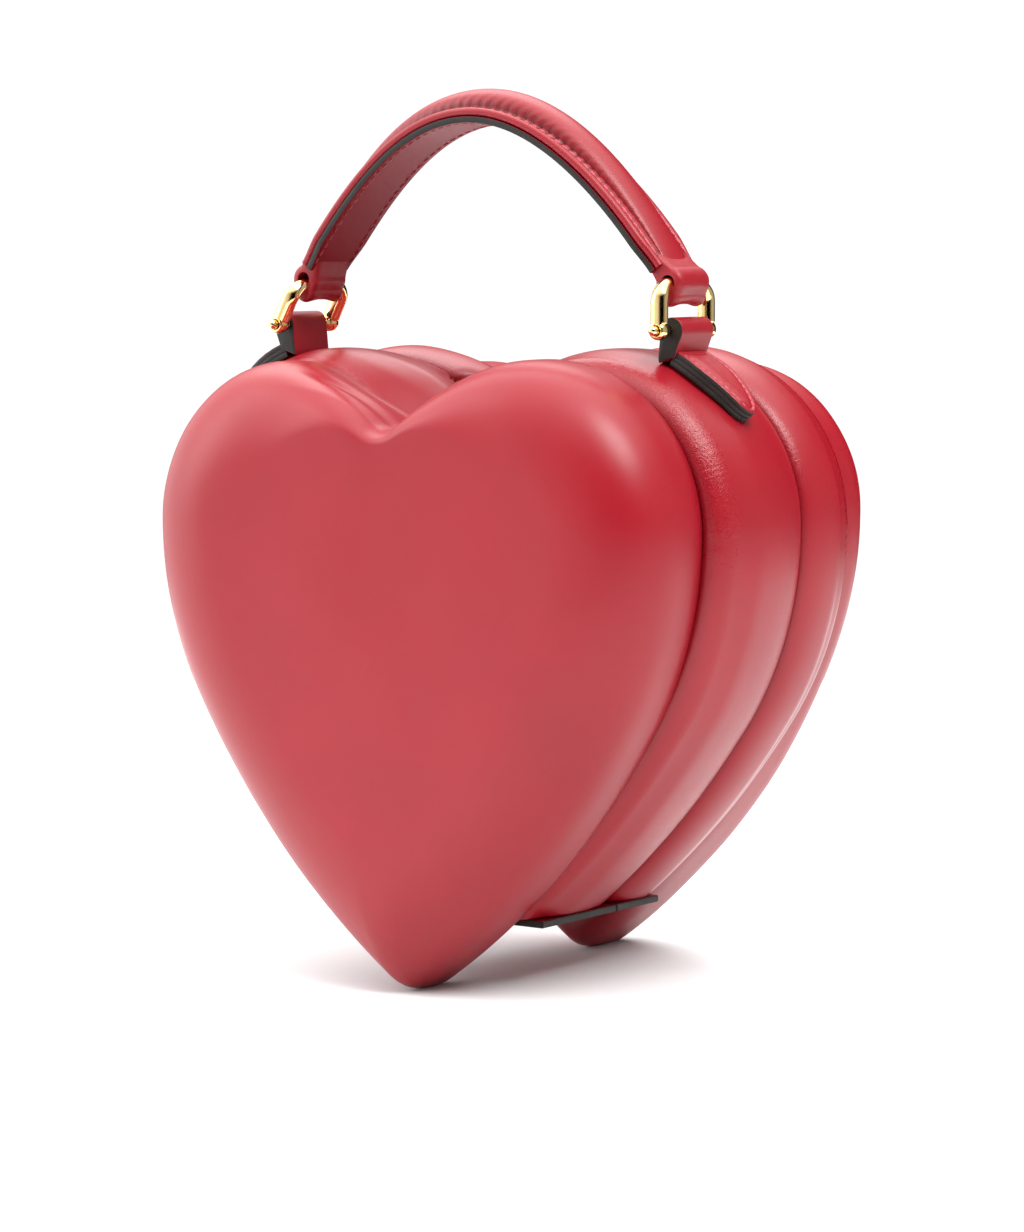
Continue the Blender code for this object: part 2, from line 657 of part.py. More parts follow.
def make_tab(prefix, side, parent):
    """A folded leather tab: a loop round the ring's pin, and a leaf sewn down on the lobe."""
    centre = GUSSET.lobe
    leaf_low = GUSSET.lobe_radius + GAP
    leaf_mid = leaf_low + LEAF_THICKNESS / 2
    inner = PIN_RADIUS + TAB_LOOP_CLEARANCE
    outer = inner + TAB_LOOP_WALL
    pin_place = Vector((RING_X, RING_Z))
    shoulder = math.radians(TAB_SHOULDER)
    loop = arc(pin_place, outer, -shoulder, math.pi + shoulder, ROUND_STEPS)
    root = math.radians(LEAF_ROOT)
    for angle in (root, root - LEAF_THICKNESS / leaf_mid):
        loop.append(centre + leaf_mid * Vector((math.cos(angle), math.sin(angle))))
    bore = arc(pin_place, inner, 0, math.tau, ROUND_STEPS, False)
    fold = upright(flat_plate("tab_fold", loop, [bore], TAB_WIDTH), (0, RING_Y, 0))

    rows = []
    steps = len(LEAF_WIDTH_SHARES) - 1
    for index, share in enumerate(LEAF_WIDTH_SHARES):
        angle = math.radians(LEAF_ROOT + (LEAF_POINT - LEAF_ROOT) * index / steps)
        outward = Vector((math.cos(angle), math.sin(angle)))
        low = centre + leaf_low * outward
        high = centre + (leaf_low + LEAF_THICKNESS) * outward
        reach = share * TAB_WIDTH / 2
        rows.append([(low.x, RING_Y - reach, low.y), (low.x, RING_Y + reach, low.y),
                     (high.x, RING_Y + reach, high.y), (high.x, RING_Y - reach, high.y)])
    leaf = lofted("tab_leaf", rows, True, False, "rows")

    mesh = join_meshes(prefix + "_tab", [fold, leaf])
    if side < 0:
        mesh.transform(Matrix.Diagonal((-1, 1, 1, 1)))
        mesh.flip_normals()
    add_object(prefix + "_tab", mesh, RED_LEATHER, parent)


def make_ring(prefix, pin, tilt, parent):
    """A bowed ring and its pin, drawn upright about the pin's axis, then leaned over."""
    half = BOW_WIDTH / 2
    corner = BOW_HEIGHT - BOW_CORNER
    rear = arc(Vector((half - BOW_CORNER, corner)), BOW_CORNER, 0, math.pi / 2, BOW_CORNER_STEPS)
    front = [Vector((-p.x, p.y)) for p in reversed(rear)]
    foot = (PIN_BORE + EYE_RADIUS) / 2
    route = [Vector((half, foot))] + rear + front + [Vector((-half, foot))]
    curve = bpy.data.curves.new("bow", "CURVE")
    curve.dimensions = "3D"
    curve.bevel_depth = BOW_WIRE
    curve.bevel_resolution = 2
    curve.use_fill_caps = True
    spline = curve.splines.new("POLY")
    spline.points.add(len(route) - 1)
    for point, place in zip(spline.points, route):
        point.co = (0, place.x, place.y, 1)
    meshes = [curve_to_mesh("bow", curve)]
    for end in (-1, 1):
        meshes.append(cylinder(EYE_RADIUS, EYE_LENGTH, (0, end * half, 0)))
        meshes.append(ball(BEAD_RADIUS, (0, end * (half - EYE_LENGTH / 2 + BEAD_SINK), 0)))
    bore = cylinder(PIN_BORE, BOW_WIDTH + EYE_LENGTH + BORE_OVERRUN, (0, 0, 0))
    bow = join_meshes(prefix + "_ring_bow", meshes, [bore])

    rod_half = half + EYE_LENGTH / 2
    rod = cylinder(PIN_RADIUS, 2 * rod_half + GAP, (0, -GAP / 2, 0))
    head = ball(PIN_HEAD_RADIUS, (0, -rod_half - GAP - PIN_HEAD_RADIUS + PIN_HEAD_SINK, 0))
    shank = join_meshes(prefix + "_ring_pin", [rod, head])

    stand = Matrix.Translation(pin) @ Matrix.Rotation(math.radians(tilt), 4, "Y")
    for mesh in (bow, shank):
        mesh.transform(stand)
    swing = add_pivot(prefix + "_ring_swing", pin, tilt, parent)
    add_object(prefix + "_ring_bow", bow, GOLD, swing)
    add_object(prefix + "_ring_pin", shank, GOLD, swing)
    return swing


def handle_frames():
    """Centre, direction along and direction out of the handle's underside, along its arch."""
    half = HANDLE_HALF_SPAN - HANDLE_END_GAP
    seat = (BAR_LEFT.z + BAR_RIGHT.z) / 2
    bend = HANDLE_RISE / HANDLE_HALF_SPAN ** 2
    frames = []
    for step in range(HANDLE_STEPS + 1):
        x = half * (2 * step / HANDLE_STEPS - 1)
        place = Vector((HANDLE_X + x, RING_Y, seat + HANDLE_RISE - HANDLE_STRAP / 2 - bend * x * x))
        along = Vector((1, 0, -2 * bend * x)).normalized()
        frames.append((place, along, Vector((-along.z, 0, along.x)), x / half))
    return frames


def handle_rows(section):
    """Sections of the handle, each a list of widths and heights, set along its arch."""
    rows = []
    for place, _, out, share in handle_frames():
        rows.append([place + width * Vector((0, 1, 0)) + height * out for width, height in section(share)])
    return rows


def handle_pad_height(share):
    """How high the padded roll stands on the strap, from its middle to its ends."""
    fall = (1 - HANDLE_PAD_END_SHARE) * share ** HANDLE_PAD_POWER
    return HANDLE_PAD_HEIGHT * (1 - fall)


def make_handle(parent):
    """The arched handle: flat strap, padded core, top leather and an end loop on each ring."""
    half = HANDLE_WIDTH / 2
    roll = half - HANDLE_SEAM_WIDTH
    base = HANDLE_STRAP + GAP + COVER

    def strap(_):
        return [(-half, 0), (half, 0), (half, HANDLE_STRAP), (-half, HANDLE_STRAP)]

    def hump(share, inside):
        height = handle_pad_height(share) - inside
        reach = roll - inside
        points = []
        for step in range(HUMP_STEPS + 1):
            angle = math.pi * step / HUMP_STEPS
            points.append((-reach * math.cos(angle), base + height * math.sin(angle)))
        return points

    def top(share):
        return [(-half, base)] + hump(share, 0) + [(half, base)]

    def core(share):
        return hump(share, COVER + GAP)

    mesh = lofted("handle_strap", handle_rows(strap), True, False, "rows")
    add_object("handle_strap", mesh, STRAP_LEATHER, parent)
    mesh = lofted("handle_cover", handle_rows(top), False, False, "none")
    solidify(add_object("handle_cover", mesh, RED_LEATHER, parent), COVER)
    core_rows = handle_rows(core)[CORE_END_STEPS:-CORE_END_STEPS]
    mesh = lofted("handle_core", core_rows, True, False, "rows")
    add_object("handle_core", mesh, FOAM, parent)


def make_handle_loop(prefix, side, parent):
    """The leather loop that holds one end of the handle on its ring."""
    place, along, out, _ = handle_frames()[-1]
    bar_high = max(BAR_LEFT.z, BAR_RIGHT.z)
    inner = BOW_WIRE + LOOP_CLEARANCE
    outer = inner + LOOP_WALL
    x = HANDLE_X + HANDLE_HALF_SPAN
    high = Vector((x, bar_high + BOW_WIRE + LOOP_SEAT - inner))
    low = high - Vector((0, LOOP_SLACK))
    end_low = place + GAP * along
    end_high = end_low + HANDLE_STRAP * out
    outline = arc(low, outer, -math.pi, 0, LOOP_STEPS)
    outline += arc(high, outer, 0, math.radians(LOOP_SHOULDER), LOOP_SHOULDER_STEPS)
    outline += [Vector((end_high.x, end_high.z)), Vector((end_low.x, end_low.z))]
    eye = arc(low, inner, -math.pi, 0, LOOP_EYE_STEPS) + arc(high, inner, 0, math.pi, LOOP_EYE_STEPS)
    mesh = upright(flat_plate(prefix + "_handle_loop", outline, [eye], LOOP_WIDTH), (0, RING_Y, 0))
    if side < 0:
        mesh.transform(Matrix.Translation((2 * HANDLE_X, 0, 0)) @ Matrix.Diagonal((-1, 1, 1, 1)))
        mesh.flip_normals()
    add_object(prefix + "_handle_loop", mesh, RED_LEATHER, parent)


def make_bag():
    lid = add_pivot("lid_hinge", HINGE)
    make_pad("front", FRONT_PAD, None)
    make_pad("rear", REAR_PAD, lid)
    make_roll("body", -ROLL_FACE_Y, BODY_ROLL_END, BODY_ROLL_CORNER, None)
    make_roll("lid", LID_ROLL_START, ROLL_FACE_Y, LID_ROLL_CORNER, lid)
    make_zip_half("body", -1, None)
    make_zip_half("lid", 1, lid)
    make_base("body", -ROLL_FACE_Y, ZIP_Y - GAP / 2, None)
    make_base("lid", ZIP_Y + GAP / 2, ROLL_FACE_Y, lid)
    make_slider("left", -1, None)
    make_slider("right", 1, None)
    make_tab("left", -1, None)
    make_tab("right", 1, None)
    left_swing = make_ring("left", PIN_LEFT, RING_LEAN_LEFT, None)
    make_ring("right", PIN_RIGHT, RING_LEAN_RIGHT, None)
    handle = add_pivot("handle_pivot", BAR_LEFT, parent=left_swing)
    make_handle(handle)
    make_handle_loop("left", -1, handle)
    make_handle_loop("right", 1, handle)


make_bag()
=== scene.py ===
"""Looks of the heart-shaped top handle bag in padded red leather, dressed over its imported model.

Units are metres and the frame is the model's: +Z up, the front heart towards -Y.
Front heart, wide roll and front half of the base are the body; the rear ones are the lid.
"""
from math import acos, asin, atan2, cos, hypot, pi, radians, sin, sqrt, tau

import bmesh
import bpy
import numpy as np
from mathutils import Matrix, Vector, noise


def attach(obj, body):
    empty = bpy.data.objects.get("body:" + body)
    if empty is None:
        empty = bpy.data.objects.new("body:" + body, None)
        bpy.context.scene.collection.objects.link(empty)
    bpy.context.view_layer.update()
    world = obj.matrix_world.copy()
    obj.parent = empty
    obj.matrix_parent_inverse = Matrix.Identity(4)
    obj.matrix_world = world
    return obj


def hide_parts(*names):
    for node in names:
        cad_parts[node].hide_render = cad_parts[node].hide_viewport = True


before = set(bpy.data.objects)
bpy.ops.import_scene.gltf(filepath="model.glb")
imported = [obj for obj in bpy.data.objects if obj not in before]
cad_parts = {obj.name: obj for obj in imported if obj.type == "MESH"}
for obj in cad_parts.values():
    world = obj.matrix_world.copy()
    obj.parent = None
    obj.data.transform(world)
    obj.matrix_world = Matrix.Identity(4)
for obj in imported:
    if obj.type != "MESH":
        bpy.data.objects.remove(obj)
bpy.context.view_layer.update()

# Outlines of the padded hearts: height, lobe's place in X, lobe radius, cheek radius, cheek turn
FRONT_OUTLINE = (0.2014, 0.0448, 0.0535, 0.1220, 30.5)
REAR_OUTLINE = (0.1985, 0.0464, 0.0478, 0.1277, 23.4)
NOTCH_RADIUS = 0.0060
TIP_RADIUS_MIN = 0.0010
TIP_GROWTH = 0.35
PATH_STEP = 0.0012

# Sections of the padded hearts: hem width, start and end of the ridge, thickness, crown's run
PAD_FACE_Y = 0.0340
LOBE_TOP = (0.12, 0.17)
FACE_SHARES = (0.25, 0.6, 0.9)
FRONT_SECTION = (0.0070, 0.0120, 0.0150, 0.0430, 0.0320)
REAR_SECTION = (0.0080, 0.0170, 0.0240, 0.0430, 0.0360)
CROWN_POWER = 0.78
NOTCH_TIGHT = 0.80
NOTCH_REACH = 0.030
HEM_TIGHT = 0.65
HEM_REACH = 0.060
NOTCH_SOFT = 50
LEFT_TIGHT = 0.30
SETTLE = 0.0104
SETTLE_X = -0.021
SETTLE_WIDTH = 0.022
SETTLE_DEPTH = 0.036
SETTLE_ROLL = 0.020
FOLD = 0.0010
FOLD_DEPTHS = (0.0110, 0.0270)
FOLD_WIDTH = 0.0030
FOLD_REACH = 0.0170
SAG_FRONT = 0.0010
SAG_REAR = 0.0028
SAG_PLACE = (-0.036, 0.024)
BOARD_DEPTHS = (0.0015, 0.0035)
BOARD_INSET = 0.0095
HEM_POWER = 2.8
DOME = 0.0005
DOME_Z = 0.110
# Swellings of the stuffing: height, breadth, seed
HEART_SWELLS = ((0.0005, 0.045, 3.1), (0.00012, 0.016, 8.4))
ROLL_SWELLS = ((0.0004, 0.040, 5.7), (0.0001, 0.012, 2.2))

# Outline of the gusset, in the same order, and its tip
GUSSET_OUTLINE = (0.2043, 0.0524, 0.0560, 0.1180, 34.6)
GUSSET_TIP_Z = -0.0030
TIP_FLAT = 0.0030

# Section of the two rolls
ROLL_FACE_Y = 0.0337
ROLL_DEPTH = 0.0136
ROLL_POWER = 2.9
ROLL_STEPS = 24
ROLL_OUTSIDE = 2 * ROLL_STEPS - 1
BULGE = 0.0065
BULGE_FADES = (0.0090, 0.0160)
FLANGE_INSET = 0.0215
FLANGE = 0.00022
BEAD_RISE = 0.0005
BEAD_PLACE = 0.0005
BEAD_WIDTH = 0.0024
LIP_DEPTH = 0.0054
LIP_POWER = 2.2
LIP_GAP = 0.0002
# Insets behind a shut lip, with places back from the lip's edge, then from the zip's wall
LIP_UNDERSIDE = ((0.00562, 0.0004), (0.00575, 0.0012))
LIP_WALL = ((0.00585, 0.0002), (0.0064, 0.0004), (0.0095, 0.0004), (ROLL_DEPTH, 0.0004))
CREASE_HALF = 0.0042
LIPS_CLOSE = (0.0310, 0.0400)
ZIP_Y = 0.0088
ZIP_SPLIT = 0.00015
FOOT_Z = 0.0225
BASE_TOP_Z = 0.0222
BASE_THICK = 0.0022
BASE_SOFT = 0.0003

# Lining and zip
LINING_INSET = 0.0143
PANEL_INSET = 0.0154
CLOTH = 0.0008
TAPE_TOP = 0.0062
TAPE_FOOT = 0.0098
TAPE_THICK = 0.0006
TAPE_WALL = 0.0039
TEETH_TOP = 0.0068
TOOTH_DEPTH = 0.0027
TOOTH_REACH = 0.0020
TOOTH_PITCH = 0.0020
TOOTH_SHARE = 0.52
TOOTH_SOFT = 0.00025
TEETH_APART = 0.0002

# Rings and tabs
RING_X = 0.074757
RING_Y = -0.01455
RING_Z = 0.210398
RING_LEAN_LEFT = 27.0
RING_LEAN_RIGHT = 0.0
BOW_HALF = 0.0135
BOW_HEIGHT = 0.0145
BOW_CORNER = 0.0060
BOW_WIRE = 0.0021
BOW_LOW = 0.0022
BOW_NARROWS = (0.0105, 0.0150)
LEG_DEEP = 0.0023
EYE_RADIUS = 0.0030
EYE_SOFT = 0.0012
EYE_LENGTH = 0.0046
BEAD_RADIUS = 0.0021
BEAD_HALF = 0.0012
BEAD_BORE = 0.0008
BEAD_APART = 0.0004
BORE_RADIUS = 0.0017
PIN_RADIUS = 0.0014
PIN_HEAD_RADIUS = 0.0015
SKIN_VOXEL = 0.00022
SKIN_SMOOTHING = 6
TAB_HALF = 0.0091
TAB_LOOP_OUTER = 0.0041
TAB_LOOP_SHIFT = 0.0016
LEAF_LOW = 0.0563
LEAF_THICK = 0.0050
LEAF_ROOT = 66.0
LEAF_POINT = 37.0
LEAF_WIDTHS = (0.90, 0.95, 0.98, 0.97, 0.91, 0.80, 0.67, 0.52, 0.37)
LEAF_BLUNT = 0.86
LEAF_LAYER = 0.00022
LEAF_LAYERS = 3
LEAF_RELIEF = 0.00035
LEAF_SEAM = 0.0019
LEAF_SEAM_PITCH = 0.0025

# Handle
HANDLE_X = 0.0032914
HANDLE_REACH = 0.0675
HANDLE_LOW_Z = 0.275508
HANDLE_BEND = 10.397
HANDLE_SKEW = 0.0030
HANDLE_TRIM = 0.0022
HANDLE_TRIM_TURN = 2.2
HANDLE_WIDTH = 0.0240
HANDLE_NARROW = 0.14
NARROW_FROM = 0.90
UNDERSIDE = 0.0021
STRAP_SOFT = 0.0004
FOLD_LOW = 0.00225
BORDER_H = 0.0049
HUMP_HALF = 0.0077
HUMP_HEIGHT = 0.0062
HUMP_END_SHARE = 0.12
HUMP_POWER = 2.2
HUMP_TAPER = 0.16
SEAM_W = 0.0090
SEAM_PITCH = 0.0032
SEAM_START = 0.0040
SEAM_DEPTH = 0.00050
PUCKER_DEPTH = 0.00036
BAR_REACH = 0.0714655
BAR_Z = 0.224898
END_STRAP = 0.0050
END_HALF = 0.0089
END_INNER = 0.0024
END_HIGH_OUTER = 0.0050
END_LOW_OUTER = 0.0038
END_SOFT = 0.0021
END_SLACK = 0.0042
END_SADDLE = 0.0013
END_SEAT = 0.0006
END_TUCK = 0.0036
END_SHOULDER = 72.0

# Studio
FLOOR_RADIUS = 0.9
KEY_POWER = 15
KEY_PLACE = (-1.85, -1.05, 1.15)
KEY_AIM = (0, 0, 0.12)
# Soft glows round the bag: azimuth, elevation, cosines where it starts and is full, strength
GLOWS = ((0, 90, 0.45, 1.0, 3.25),
         (72, 55, 0.945, 0.985, 13.0),
         (-85, 12, 0.58, 1.0, 2.0),
         (-35, 4, 0.55, 1.0, 1.04),
         (110, 8, 0.55, 1.0, 0.52),
         (220, 48, 0.86, 0.99, 2.9))


# ---- finishes

class Value:
    """An output of a finish's nodes. Arithmetic on it adds Math nodes."""

    def __init__(self, finish, socket):
        self.finish = finish
        self.socket = socket

    def math(self, operation, *terms):
        sockets = dict(enumerate(terms))
        return self.finish.node("ShaderNodeMath", {"operation": operation}, sockets)

    def __add__(self, other):
        return self.math("ADD", self, other)

    def __sub__(self, other):
        return self.math("SUBTRACT", self, other)

    def __rsub__(self, other):
        return self.math("SUBTRACT", other, self)

    def __mul__(self, other):
        return self.math("MULTIPLY", self, other)

    def __truediv__(self, other):
        return self.math("DIVIDE", self, other)

    def __rtruediv__(self, other):
        return self.math("DIVIDE", other, self)

    __radd__, __rmul__ = __add__, __mul__

    def rise(self, low, high):
        """0 below low, 1 above high, smooth between."""
        return self.finish.node("ShaderNodeMapRange", {"interpolation_type": "SMOOTHSTEP"},
                                {0: self, 1: low, 2: high, 3: 0.0, 4: 1.0})


class Nodes:
    """A tree of shading nodes, with a short way to add one."""

    def __init__(self, tree):
        self.tree = tree

    def put(self, socket, value):
        if isinstance(value, Value):
            self.tree.links.new(value.socket, socket)
        else:
            socket.default_value = value

    def node(self, kind, settings, sockets, output=0):
        made = self.tree.nodes.new(kind)
        for name, value in settings.items():
            setattr(made, name, value)
        for name, value in sockets.items():
            self.put(made.inputs[name], value)
        return None if output is None else Value(self, made.outputs[output])


class Finish(Nodes):
    """A material with a Principled shader, and the nodes that feed it."""

    def __init__(self, name, settings):
        self.material = bpy.data.materials.new(name)
        self.material.use_nodes = True
        super().__init__(self.material.node_tree)
        self.shader = self.tree.nodes["Principled BSDF"]
        self.feed(settings)
        self.place = self.node("ShaderNodeTexCoord", {}, {}, "Object")

    def feed(self, sockets):
        """Set or link the shader's sockets."""
        for name, value in sockets.items():
            self.put(self.shader.inputs[name], value)

    def surface(self, colour, roughness, height):
        """Feed the shader a colour, a roughness and a relief in metres."""
        relief = {"Strength": 1.0, "Distance": 1.0, "Height": height}
        self.feed({"Base Color": colour, "Roughness": roughness,
                   "Normal": self.node("ShaderNodeBump", {}, relief)})
        return self

    def parts(self, vector):
        """The three numbers of a vector."""
        split = self.node("ShaderNodeSeparateXYZ", {}, {0: vector})
        return [Value(self, output) for output in split.socket.node.outputs]

    def noise(self, scale, detail, roughness=0.5, distortion=0.0, place=None):
        sockets = {"Vector": place or self.place, "Scale": scale, "Detail": detail,
                   "Roughness": roughness, "Distortion": distortion}
        return self.node("ShaderNodeTexNoise", {}, sockets)

    def cells(self, scale):
        return self.node("ShaderNodeTexVoronoi", {}, {"Vector": self.place, "Scale": scale})

    def mix(self, factor, first, second):
        """One colour, then the other as the factor goes to 1."""
        sockets = {0: factor, 6: first, 7: second}
        return self.node("ShaderNodeMix", {"data_type": "RGBA"}, sockets, 2)

    def attribute(self, name, output):
        return self.node("ShaderNodeAttribute", {"attribute_name": name}, {}, output)


def srgb(red, green, blue):
    """A colour from its screen values, 0 to 255."""
    levels = []
    for value in (red, green, blue):
        share = value / 255
        levels.append(share / 12.92 if share <= 0.04045 else ((share + 0.055) / 1.055) ** 2.4)
    return (*levels, 1.0)


def toned(colour, *shares):
    """A colour with its levels multiplied, by one number or by three."""
    return [*(np.array(colour[:3]) * shares), 1.0]


def leather(name, colour, deep, roughness, grain=1.0, gather=0.0004, pitch=0.0022):
    """Smooth calf leather: fine pores, faint clouds of colour, puckers where it is gathered, and
    painted shade that darkens it where a piece marks a crease.
    """
    finish = Finish(name, {"IOR": 1.5, "Specular IOR Level": 0.38})
    clouds = finish.noise(24.0, 3.0, 0.55)
    fine = finish.noise(520.0, 4.0, 0.6)
    along, across, gathered = finish.parts(finish.attribute("run", "Vector"))
    run = {0: along / pitch, 1: across / (pitch * 5), 2: finish.parts(finish.place)[0] * 60}
    lines = finish.noise(1.0, 2.0, 0.5, 0.6, finish.node("ShaderNodeCombineXYZ", {}, run))
    folds = (lines - 0.5) * gathered * gather
    pebble = (finish.noise(1700.0, 3.0, 0.6) - 0.5) * (gathered * 0.00015 + 0.000006 * grain)
    pores = (finish.cells(2300.0) * 0.000010 + fine * 0.000008) * grain
    tone = finish.mix((clouds - 0.5) * 0.9 + 0.35, colour, deep)
    # Painted shade: the colour goes towards a darkened deep red where the piece marks a crease.
    tone = finish.mix(finish.attribute("crease_shade", "Fac") * 0.6, tone, toned(deep, 0.4))
    shine = roughness + (fine - 0.5) * 0.10 + (clouds - 0.5) * 0.06 - gathered * 0.10
    return finish.surface(tone, shine, folds + pebble + pores)


def paint(name, colour):
    """Edge paint on cut leather: satin, a little uneven."""
    finish = Finish(name, {"Specular IOR Level": 0.30})
    uneven = finish.noise(700.0, 4.0, 0.6)
    worn = finish.noise(160.0, 3.0, 0.6).rise(0.45, 0.75)
    return finish.surface(finish.mix(worn, colour, toned(colour, 1.6)),
                          0.42 + uneven * 0.2, uneven * 0.00006)


def thread(name, colour):
    """Twisted sewing thread."""
    finish = Finish(name, {"Sheen Weight": 0.3, "Specular IOR Level": 0.3})
    plies = finish.noise(3200.0, 2.0, 0.6)
    return finish.surface(finish.mix(plies.rise(0.35, 0.6), toned(colour, 0.6), colour),
                          0.62 + plies * 0.1, plies * 0.00008)


def cloth(name, colour, dark, pitch):
    """Plain woven cloth, its threads crossing in the piece's own directions."""
    finish = Finish(name, {"Sheen Weight": 0.35, "Sheen Roughness": 0.4,
                           "Specular IOR Level": 0.25})
    x, y, z = finish.parts(finish.place)
    first, second = (way.math("SINE", way * (tau / pitch)) for way in (x + z, y + z - x))
    weave = first * second * 0.5 + 0.5
    slubs = finish.noise(1400.0, 3.0, 0.6)
    return finish.surface(finish.mix(weave * 0.6 + slubs * 0.4, dark, colour),
                          0.78 + slubs * 0.15, weave * 0.00008 + slubs * 0.00005)


def polished(name, colour):
    """Polished plated metal with hairline wear."""
    finish = Finish(name, {"Metallic": 1.0, "Specular IOR Level": 0.5})
    hairs = finish.noise(1800.0, 2.0)
    haze = finish.noise(180.0, 3.0)
    warm = toned(colour, 0.96, 0.90, 0.78)
    return finish.surface(finish.mix(haze.rise(0.4, 0.7), colour, warm),
                          0.07 + hairs * 0.05 + haze * 0.04, hairs * 0.0000015)


def fibre_board(name, colour, dark):
    """Pressed fibre board."""
    finish = Finish(name, {"Specular IOR Level": 0.3})
    fibres = finish.noise(900.0, 5.0, 0.7, 1.0)
    return finish.surface(finish.mix(fibres, dark, colour), 0.82 + fibres * 0.1,
                          fibres * 0.0001 + finish.cells(700.0) * 0.00004)


RED = srgb(148, 18, 31)
DEEP_RED = srgb(132, 12, 26)
RED_LEATHER = leather("red_leather", RED, DEEP_RED, 0.36, gather=0.00012)
SMALL_LEATHER = leather("small_red_leather", RED, DEEP_RED, 0.42, 1.4, 0.0003, 0.0014)
HANDLE_LEATHER = leather("handle_red_leather", RED, DEEP_RED, 0.38, 1.2, 0.0003, 0.0016)
DARK_LEATHER = leather("dark_red_leather", srgb(132, 16, 32), srgb(104, 10, 24), 0.46)
DARK_LEATHER.feed({"Specular IOR Level": 0.12})
BLACK_EDGE = paint("edge_paint", srgb(30, 28, 25))
THREAD = thread("red_thread", srgb(222, 78, 98))
DARK_THREAD = thread("dark_red_thread", srgb(150, 34, 52))
GOLD = polished("gold_metal", srgb(246, 214, 152))
LINING = cloth("lining_cloth", srgb(120, 20, 34), srgb(70, 8, 18), 0.0008)
TAPE = cloth("zip_cloth", srgb(120, 16, 32), srgb(66, 6, 16), 0.0005)
BOARD = fibre_board("board_fibre", srgb(176, 150, 118), srgb(128, 104, 78))


# ---- outlines

def arc(centre, radius, start, end, steps, last=True):
    """Points on an arc in the X-Z plane."""
    count = steps + 1 if last else steps
    angles = start + (end - start) * np.arange(count) / steps
    return np.stack((centre[0] + radius * np.cos(angles), centre[1] + radius * np.sin(angles)), 1)


class Heart:
    """A heart outline and the outlines parallel to it: notch, lobe, cheek and flank arcs."""

    def __init__(self, height, lobe_x, lobe_radius, cheek_radius, cheek_turn, tip_z=0.0):
        self.lobe_radius = lobe_radius
        self.cheek_radius = cheek_radius
        self.cheek_end = -radians(cheek_turn)
        normal = np.array((cos(self.cheek_end), sin(self.cheek_end)))
        self.lobe = np.array((lobe_x, height - lobe_radius))
        notch_reach = lobe_radius + NOTCH_RADIUS
        self.notch = np.array((0, self.lobe[1] + sqrt(notch_reach ** 2 - lobe_x ** 2)))
        self.notch_end = atan2(self.lobe[1] - self.notch[1], lobe_x)
        self.cheek = self.lobe + (lobe_radius - cheek_radius, 0)
        foot = self.cheek + cheek_radius * normal
        reach = foot - (TIP_FLAT / 2, tip_z)
        self.flank_radius = reach @ reach / (2 * normal @ reach)
        self.flank = foot - self.flank_radius * normal
        drop = self.flank[1] - tip_z
        self.tip_radius = ((self.flank_radius ** 2 - self.flank[0] ** 2 - drop ** 2)
                           / (2 * (self.flank_radius - drop)))

    def upper(self, inset):
        """From the notch over the lobe to the end of the cheek."""
        start = self.notch_end + pi
        lobe_steps = round(start * self.lobe_radius / PATH_STEP)
        cheek_steps = round(-self.cheek_end * self.cheek_radius / PATH_STEP)
        return np.concatenate((
            arc(self.notch, NOTCH_RADIUS + inset, -pi / 2, self.notch_end, 22, False),
            arc(self.lobe, self.lobe_radius - inset, start, 0, lobe_steps, False),
            arc(self.cheek, self.cheek_radius - inset, 0, self.cheek_end, cheek_steps, False)))

    def half(self, inset):
        """Right half from the notch to the rounded tip, both on the centre line."""
        round_radius = max(self.tip_radius, TIP_RADIUS_MIN) + TIP_GROWTH * inset
        reach = self.flank_radius - inset - round_radius
        centre_z = self.flank[1] - sqrt(reach ** 2 - self.flank[0] ** 2)
        end = atan2(centre_z - self.flank[1], -self.flank[0])
        flank = arc(self.flank, self.flank_radius - inset, self.cheek_end, end, 96, False)
        tip = arc((0, centre_z), round_radius, end, -pi / 2, 14)
        points = np.concatenate((self.upper(inset), flank, tip))
        points[0, 0] = points[-1, 0] = 0
        return points

    def loop(self, inset):
        """The whole outline once round, from the notch."""
        right = self.half(inset)
        return np.concatenate((right, right[-2:0:-1] * (-1, 1)))

    def path(self, inset):
        """From the left foot over both lobes to the right foot, cut off at the base strip."""
        radius = self.flank_radius - inset
        end = -asin((self.flank[1] - FOOT_Z) / radius)
        flank = arc(self.flank, radius, self.cheek_end, end, 84)
        right = np.concatenate((self.upper(inset), flank))
        return np.concatenate((right[:0:-1] * (-1, 1), right))


FRONT_PAD = Heart(*FRONT_OUTLINE)
REAR_PAD = Heart(*REAR_OUTLINE)
GUSSET = Heart(*GUSSET_OUTLINE, GUSSET_TIP_Z)


def lengths(points):
    """Distance along a run of points, from its first."""
    steps = np.linalg.norm(np.diff(points, axis=0), axis=1)
    return np.concatenate(((0,), np.cumsum(steps)))


def at(reach, run, data):
    """The row of data at a distance along its run."""
    return np.array([np.interp(reach, run, column) for column in data.T])


def upright(points, y):
    """X-Z points stood up at their places along Y."""
    return np.stack((points[..., 0], np.broadcast_to(y, points.shape[:-1]), points[..., 1]), -1)


def smooth(value, low, high):
    """0 below low, 1 above high, smooth between."""
    share = np.clip((value - low) / (high - low), 0, 1)
    return share * share * (3 - 2 * share)


def bell(value, centre, width):
    """1 at the centre, falling to 0 on both sides."""
    return np.exp(-((value - centre) / width) ** 2)


def rough(points, scale, seed):
    """Smooth random numbers, about -1 to 1, at places given in metres."""
    flat = points.reshape(-1, 3) / scale + seed
    return np.array([noise.noise(Vector(place)) for place in flat]).reshape(points.shape[:-1])


def rounding(q, power):
    """How far a rounded edge has drawn in at a share q of its half width."""
    return 1 - (1 - q ** power) ** (1 / power)


# ---- meshes

